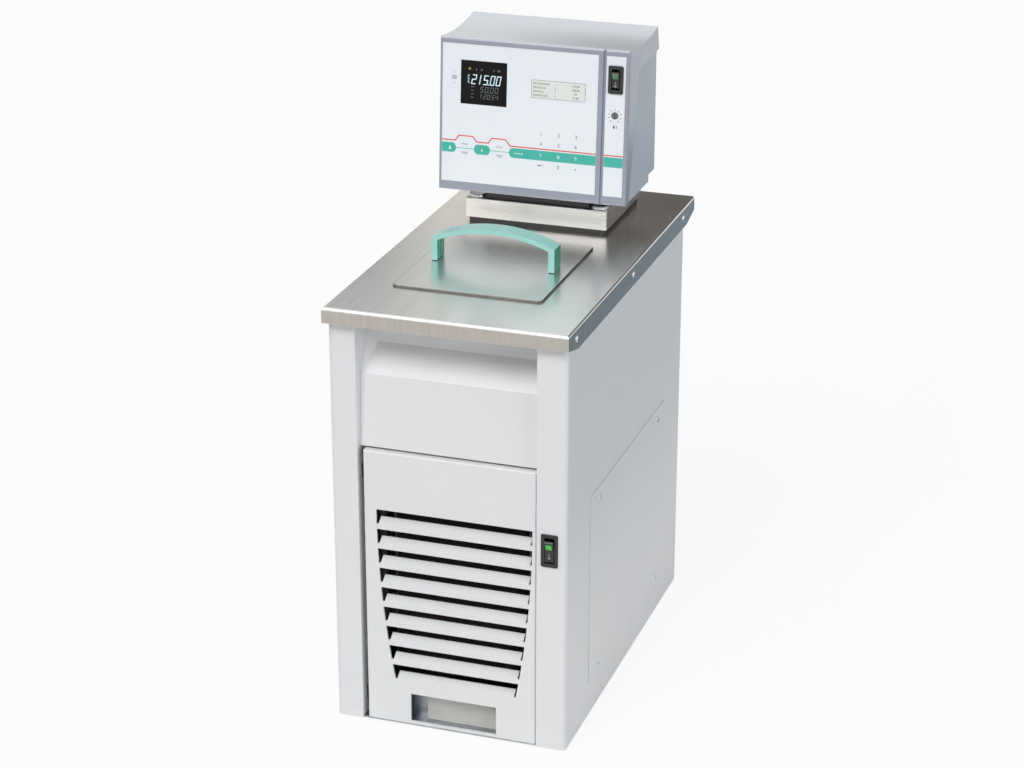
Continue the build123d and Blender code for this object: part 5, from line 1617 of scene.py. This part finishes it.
    def inside(self) -> None:
        """Dresses the pump, the heater, the probes and the board."""
        dress(ZINC, "motor_plate")
        dress(ENAMEL, "pump_motor")
        dress(TUBE_STEEL, "pump_housing", "pump_shaft", "heater_coil", "temperature_probe",
              "float_stem")
        dress(WHITE_PLASTIC, "level_float")
        dress(BOARD, "head_board")

    def build(self) -> None:
        """Builds and dresses the head."""
        self.housing()
        self.bands()
        self.keypad()
        self.key_marks()
        self.vfd()
        self.lcd()
        self.dial()
        self.switch()
        self.ports()
        self.inside()


@dataclass
class Refrigeration:
    """What shows behind the louvres: the condenser, its fan and the pipework."""

    fin_pitch: float = 2.4
    fin_sheet: float = 0.3
    tube_rows: int = 5
    tube_radius: float = 3.5
    end_sheet: float = 2.0

    def condenser(self) -> None:
        """Grows the condenser's fins and builds its end plates and tubes."""
        low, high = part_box("condenser")
        left, right = low[0], high[0] - 5 * MM
        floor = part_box("fan_shroud")[0][2]
        core_left = left + self.end_sheet * MM
        core_right = right - self.end_sheet * MM
        start = bpy.data.meshes.new("fin_start")
        growth = Growth("condenser_fins", {
            "Span": ("Float", core_right - core_left), "Pitch": ("Float", self.fin_pitch * MM),
            "Sheet": ("Float", self.fin_sheet * MM), "Depth": ("Float", high[1] - low[1]),
            "Height": ("Float", high[2] - floor)})
        count = growth.value("Span") / growth.value("Pitch")
        line = growth.add("GeometryNodeMeshLine", None, {
            "Count": count, "Start Location": (core_left, (low[1] + high[1]) / 2,
                                               (floor + high[2]) / 2),
            "Offset": growth.vector(growth.value("Pitch"))})
        fin = growth.add("GeometryNodeMeshCube", None, {"Size": growth.vector(
            growth.value("Sheet"), growth.value("Depth"), growth.value("Height"))})
        fins = growth.add("GeometryNodeInstanceOnPoints", None,
                          {"Points": line, "Instance": fin.outputs[0]})
        # The fins, and in ends the end plates, take black that also stands for the shade behind
        # the louvres.
        piece = growth.run(start, fins, CONDENSER_BLACK_AND_SHADE, "condenser_fins")
        put(piece, CONDENSER_BLACK_AND_SHADE, Body.FRAME, ("condenser",))
        self.ends(low, high, left, right, floor)

    def ends(self, low: Sequence[float], high: Sequence[float], left: float, right: float,
             floor: float) -> None:
        """Builds the condenser's end plates and tubes.

        Args:
            low: The condenser box's low corner.
            high: Its high corner.
            left: The left end plate's outer face.
            right: The right end plate's outer face.
            floor: The foot of the finned core.
        """
        plates = bmesh.new()
        for x in (left, right - self.end_sheet * MM):
            size = Vector((self.end_sheet * MM, high[1] - low[1], high[2] - low[2]))
            middle = Vector((x + size.x / 2, (low[1] + high[1]) / 2, (low[2] + high[2]) / 2))
            bmesh.ops.create_cube(plates, size=1.0, matrix=Matrix.Translation(middle)
                                  @ Matrix.Diagonal((*size, 1.0)))
        put(rounded(as_piece(plates, "condenser_end_plates"), 0.4), CONDENSER_BLACK_AND_SHADE, Body.FRAME)
        tubes = bmesh.new()
        rise = (high[2] - floor) / self.tube_rows
        depth = (low[1] + high[1]) / 2 - self.tube_radius * MM
        for row in range(self.tube_rows):
            level = floor + (row + 0.5) * rise
            axis = Matrix.Translation(((left + right) / 2, depth, level)) @ Matrix.Rotation(
                math.pi / 2, 4, "Y")
            bmesh.ops.create_cone(tubes, cap_ends=True, segments=20,
                                  radius1=self.tube_radius * MM, radius2=self.tube_radius * MM,
                                  depth=right - left + 8 * MM, matrix=axis)
        put(rounded(as_piece(tubes, "condenser_tubes"), 0.5), COPPER, Body.FRAME)

    def build(self) -> None:
        """Builds and dresses the refrigeration parts."""
        self.condenser()
        # Black enamel on the fan shroud and bracket, partly their own finish and partly painted
        # shade for the darkness behind the louvres.
        dress(ENAMEL, "fan_shroud", "fan_bracket")
        soften("fan_rotor", 0.3, DARK_PLASTIC, Body.FAN)
        dress(ENAMEL, "fan_motor", "compressor")
        dress(RUBBER, "compressor_grommets")
        dress(COPPER, "filter_drier", "refrigerant_pipes")
        dress(DARK_PLASTIC, "drain_valve")
        soften("drain_knob", 0.5, HANDLE_GREEN, Body.TAP_KNOB)


@dataclass
class Studio:
    """White paper, two soft lamps, three cards for the steel to mirror, and the camera."""

    floor_size: float = 14.0
    camera_place: Point3 = (0.73426, -2.20037, 1.20428)
    camera_yaw: float = 0.325
    camera_pitch: float = 0.3813
    lens: float = 91.3
    sky: float = 0.33
    sky_cool: Colour = (0.86, 0.93, 1.0)
    key_strength: float = 1.75
    key_from: Point3 = (-0.15, -0.62, 0.77)
    lamp_angle: float = 0.5
    paper: float = 0.9
    fill_strength: float = 0.6
    fill_from: Point3 = (0.9, -0.4, 0.15)
    rear_cool: Colour = (0.27, 0.3, 0.33)
    rear_bright: Colour = (0.8, 0.77, 0.73)
    rear_dark: Colour = (0.075, 0.068, 0.058)
    floor_warm: Colour = (0.55, 0.52, 0.49)
    floor_cool: Colour = (0.13, 0.175, 0.205)
    cool_until: float = -0.58
    bright_at: float = -0.4
    dark_from: float = -0.18
    rear_card: tuple[Point3, Point3, Point3] = (
        (-2.0, 1.0, 0.5), (4.0, 0.0, 0.0), (0.0, 0.0, 0.5))
    front_card: tuple[Point3, Point3, Point3] = (
        (-1.4, -2.2, 0.002), (2.2, 0.0, 0.0), (0.0, 1.5, 0.0))
    side_card: tuple[Point3, Point3, Point3] = (
        (0.25, 0.1, 0.002), (1.2, 0.0, 0.0), (0.0, 1.6, 0.0))

    def card(self, name: str, corner: Point3, across: Point3, along: Point3,
             stops: Sequence[tuple[float, Colour]]) -> None:
        """Sets up a card that only mirroring surfaces see.

        Args:
            name: The card's name.
            corner: One of its corners.
            across: Its first side, from that corner.
            along: Its second side.
            stops: Its colours and the x at which each is reached, from low x on.
        """
        base, first, second = Vector(corner), Vector(across), Vector(along)
        mesh = bmesh.new()
        mesh.faces.new([mesh.verts.new(point) for point in (
            base, base + first, base + first + second, base + second)])
        data = stored(mesh, name)
        card = bpy.data.objects.new(name, data)
        link(card)
        recipe = Recipe(name)
        tint: Any = stops[0][1]
        for (start, _), (end, colour) in zip(stops, stops[1:]):
            tint = recipe.blend(recipe.x.between(start, end), tint, colour)
        recipe.feed(recipe.output.inputs["Surface"],
                    recipe.add("ShaderNodeEmission", None, {"Color": tint}))
        data.materials.append(recipe.material)
        for ray in ("camera", "diffuse", "transmission", "volume_scatter", "shadow"):
            setattr(card, f"visible_{ray}", False)

    def cards(self) -> None:
        """Stands a card behind the object and lays two on the floor for its flanges."""
        self.card("rear_card", *self.rear_card, (
            (self.cool_until, self.rear_cool), (self.bright_at, self.rear_bright),
            (self.dark_from, self.rear_dark)))
        self.card("front_floor_card", *self.front_card, ((0.0, self.floor_warm),))
        self.card("side_floor_card", *self.side_card, ((0.0, self.floor_cool),))

    def paper_mix(self, loom: Loom) -> Signal:
        """Returns 1 for rays that see the white paper itself: the camera's, mirrored and
        passing ones."""
        path = loom.add("ShaderNodeLightPath")
        seen = Signal(loom.tree, path.outputs["Is Camera Ray"])
        for name in ("Is Glossy Ray", "Is Transmission Ray"):
            seen = seen.larger(Signal(loom.tree, path.outputs[name]))
        return seen

    def floor(self) -> None:
        """Lays the floor, white to the camera but for the object's soft shadow."""
        mesh = bmesh.new()
        bmesh.ops.create_grid(mesh, x_segments=2, y_segments=2, size=self.floor_size / 2)
        data = stored(mesh, "floor")
        plane = bpy.data.objects.new("studio_floor", data)
        link(plane)
        recipe = Recipe("studio_paper")
        recipe.set(Base_Color=(0.86, 0.86, 0.86), Roughness=0.9)
        glow = recipe.add("ShaderNodeEmission", None, {"Color": WHITE})
        share = self.paper_mix(recipe) * self.paper
        mixed = recipe.add("ShaderNodeMixShader", None, {0: share, 1: recipe.shader, 2: glow})
        recipe.feed(recipe.output.inputs["Surface"], mixed)
        data.materials.append(recipe.material)

    def light(self) -> None:
        """Sets the world and the two soft lamps."""
        world = bpy.data.worlds.new("studio_world")
        bpy.context.scene.world = world
        world.use_nodes = True
        loom = Loom(world.node_tree)
        seen = self.paper_mix(loom)
        towards = loom.add("ShaderNodeSeparateXYZ", None,
                           {0: loom.add("ShaderNodeTexCoord").outputs["Generated"]})
        cool = Signal(loom.tree, towards.outputs[0]).between(-0.2, 0.9) * (1 - seen)
        tint = loom.add("ShaderNodeMix", {"data_type": "RGBA"},
                        {0: cool, 6: WHITE, 7: self.sky_cool})
        ground = loom.add("ShaderNodeBackground", None,
                          {"Color": tint.outputs[2],
                           "Strength": seen * (1 - self.sky) + self.sky})
        loom.add("ShaderNodeOutputWorld", None, {"Surface": ground})
        self.lamp("key_light", self.key_strength, self.key_from)
        self.lamp("fill_light", self.fill_strength, self.fill_from)

    def lamp(self, name: str, strength: float, towards: Point3) -> None:
        """Sets up one soft far lamp that shines from a direction."""
        data = bpy.data.lights.new(name, "SUN")
        data.energy = strength
        data.angle = self.lamp_angle
        lamp = bpy.data.objects.new(name, data)
        link(lamp)
        lamp.rotation_euler = Vector(towards).to_track_quat("Z", "Y").to_euler()

    def camera(self) -> None:
        """Places the camera at the photograph's viewpoint."""
        data = bpy.data.cameras.new("camera")
        data.lens = self.lens
        data.sensor_width = 36.0
        data.clip_start = 0.05
        data.clip_end = 60.0
        view = bpy.data.objects.new("camera", data)
        link(view)
        view.location = self.camera_place
        view.rotation_euler = (math.pi / 2 - self.camera_pitch, 0.0, self.camera_yaw)
        bpy.context.scene.camera = view

    def build(self) -> None:
        """Sets up the studio."""
        bpy.context.scene.view_settings.view_transform = "Standard"
        self.floor()
        self.cards()
        self.light()
        self.camera()
        LOG.info("studio ready")


def main() -> None:
    """Builds every sub-assembly in order."""
    logging.basicConfig(level=logging.INFO, format="%(name)s: %(message)s")
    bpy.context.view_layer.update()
    for part in (Studio(), Cabinet(), BathTop(), CirculatorHead(), Refrigeration()):
        part.build()
        LOG.info("%s built", type(part).__name__)
    bpy.context.view_layer.update()


if __name__ == "__main__":
    main()
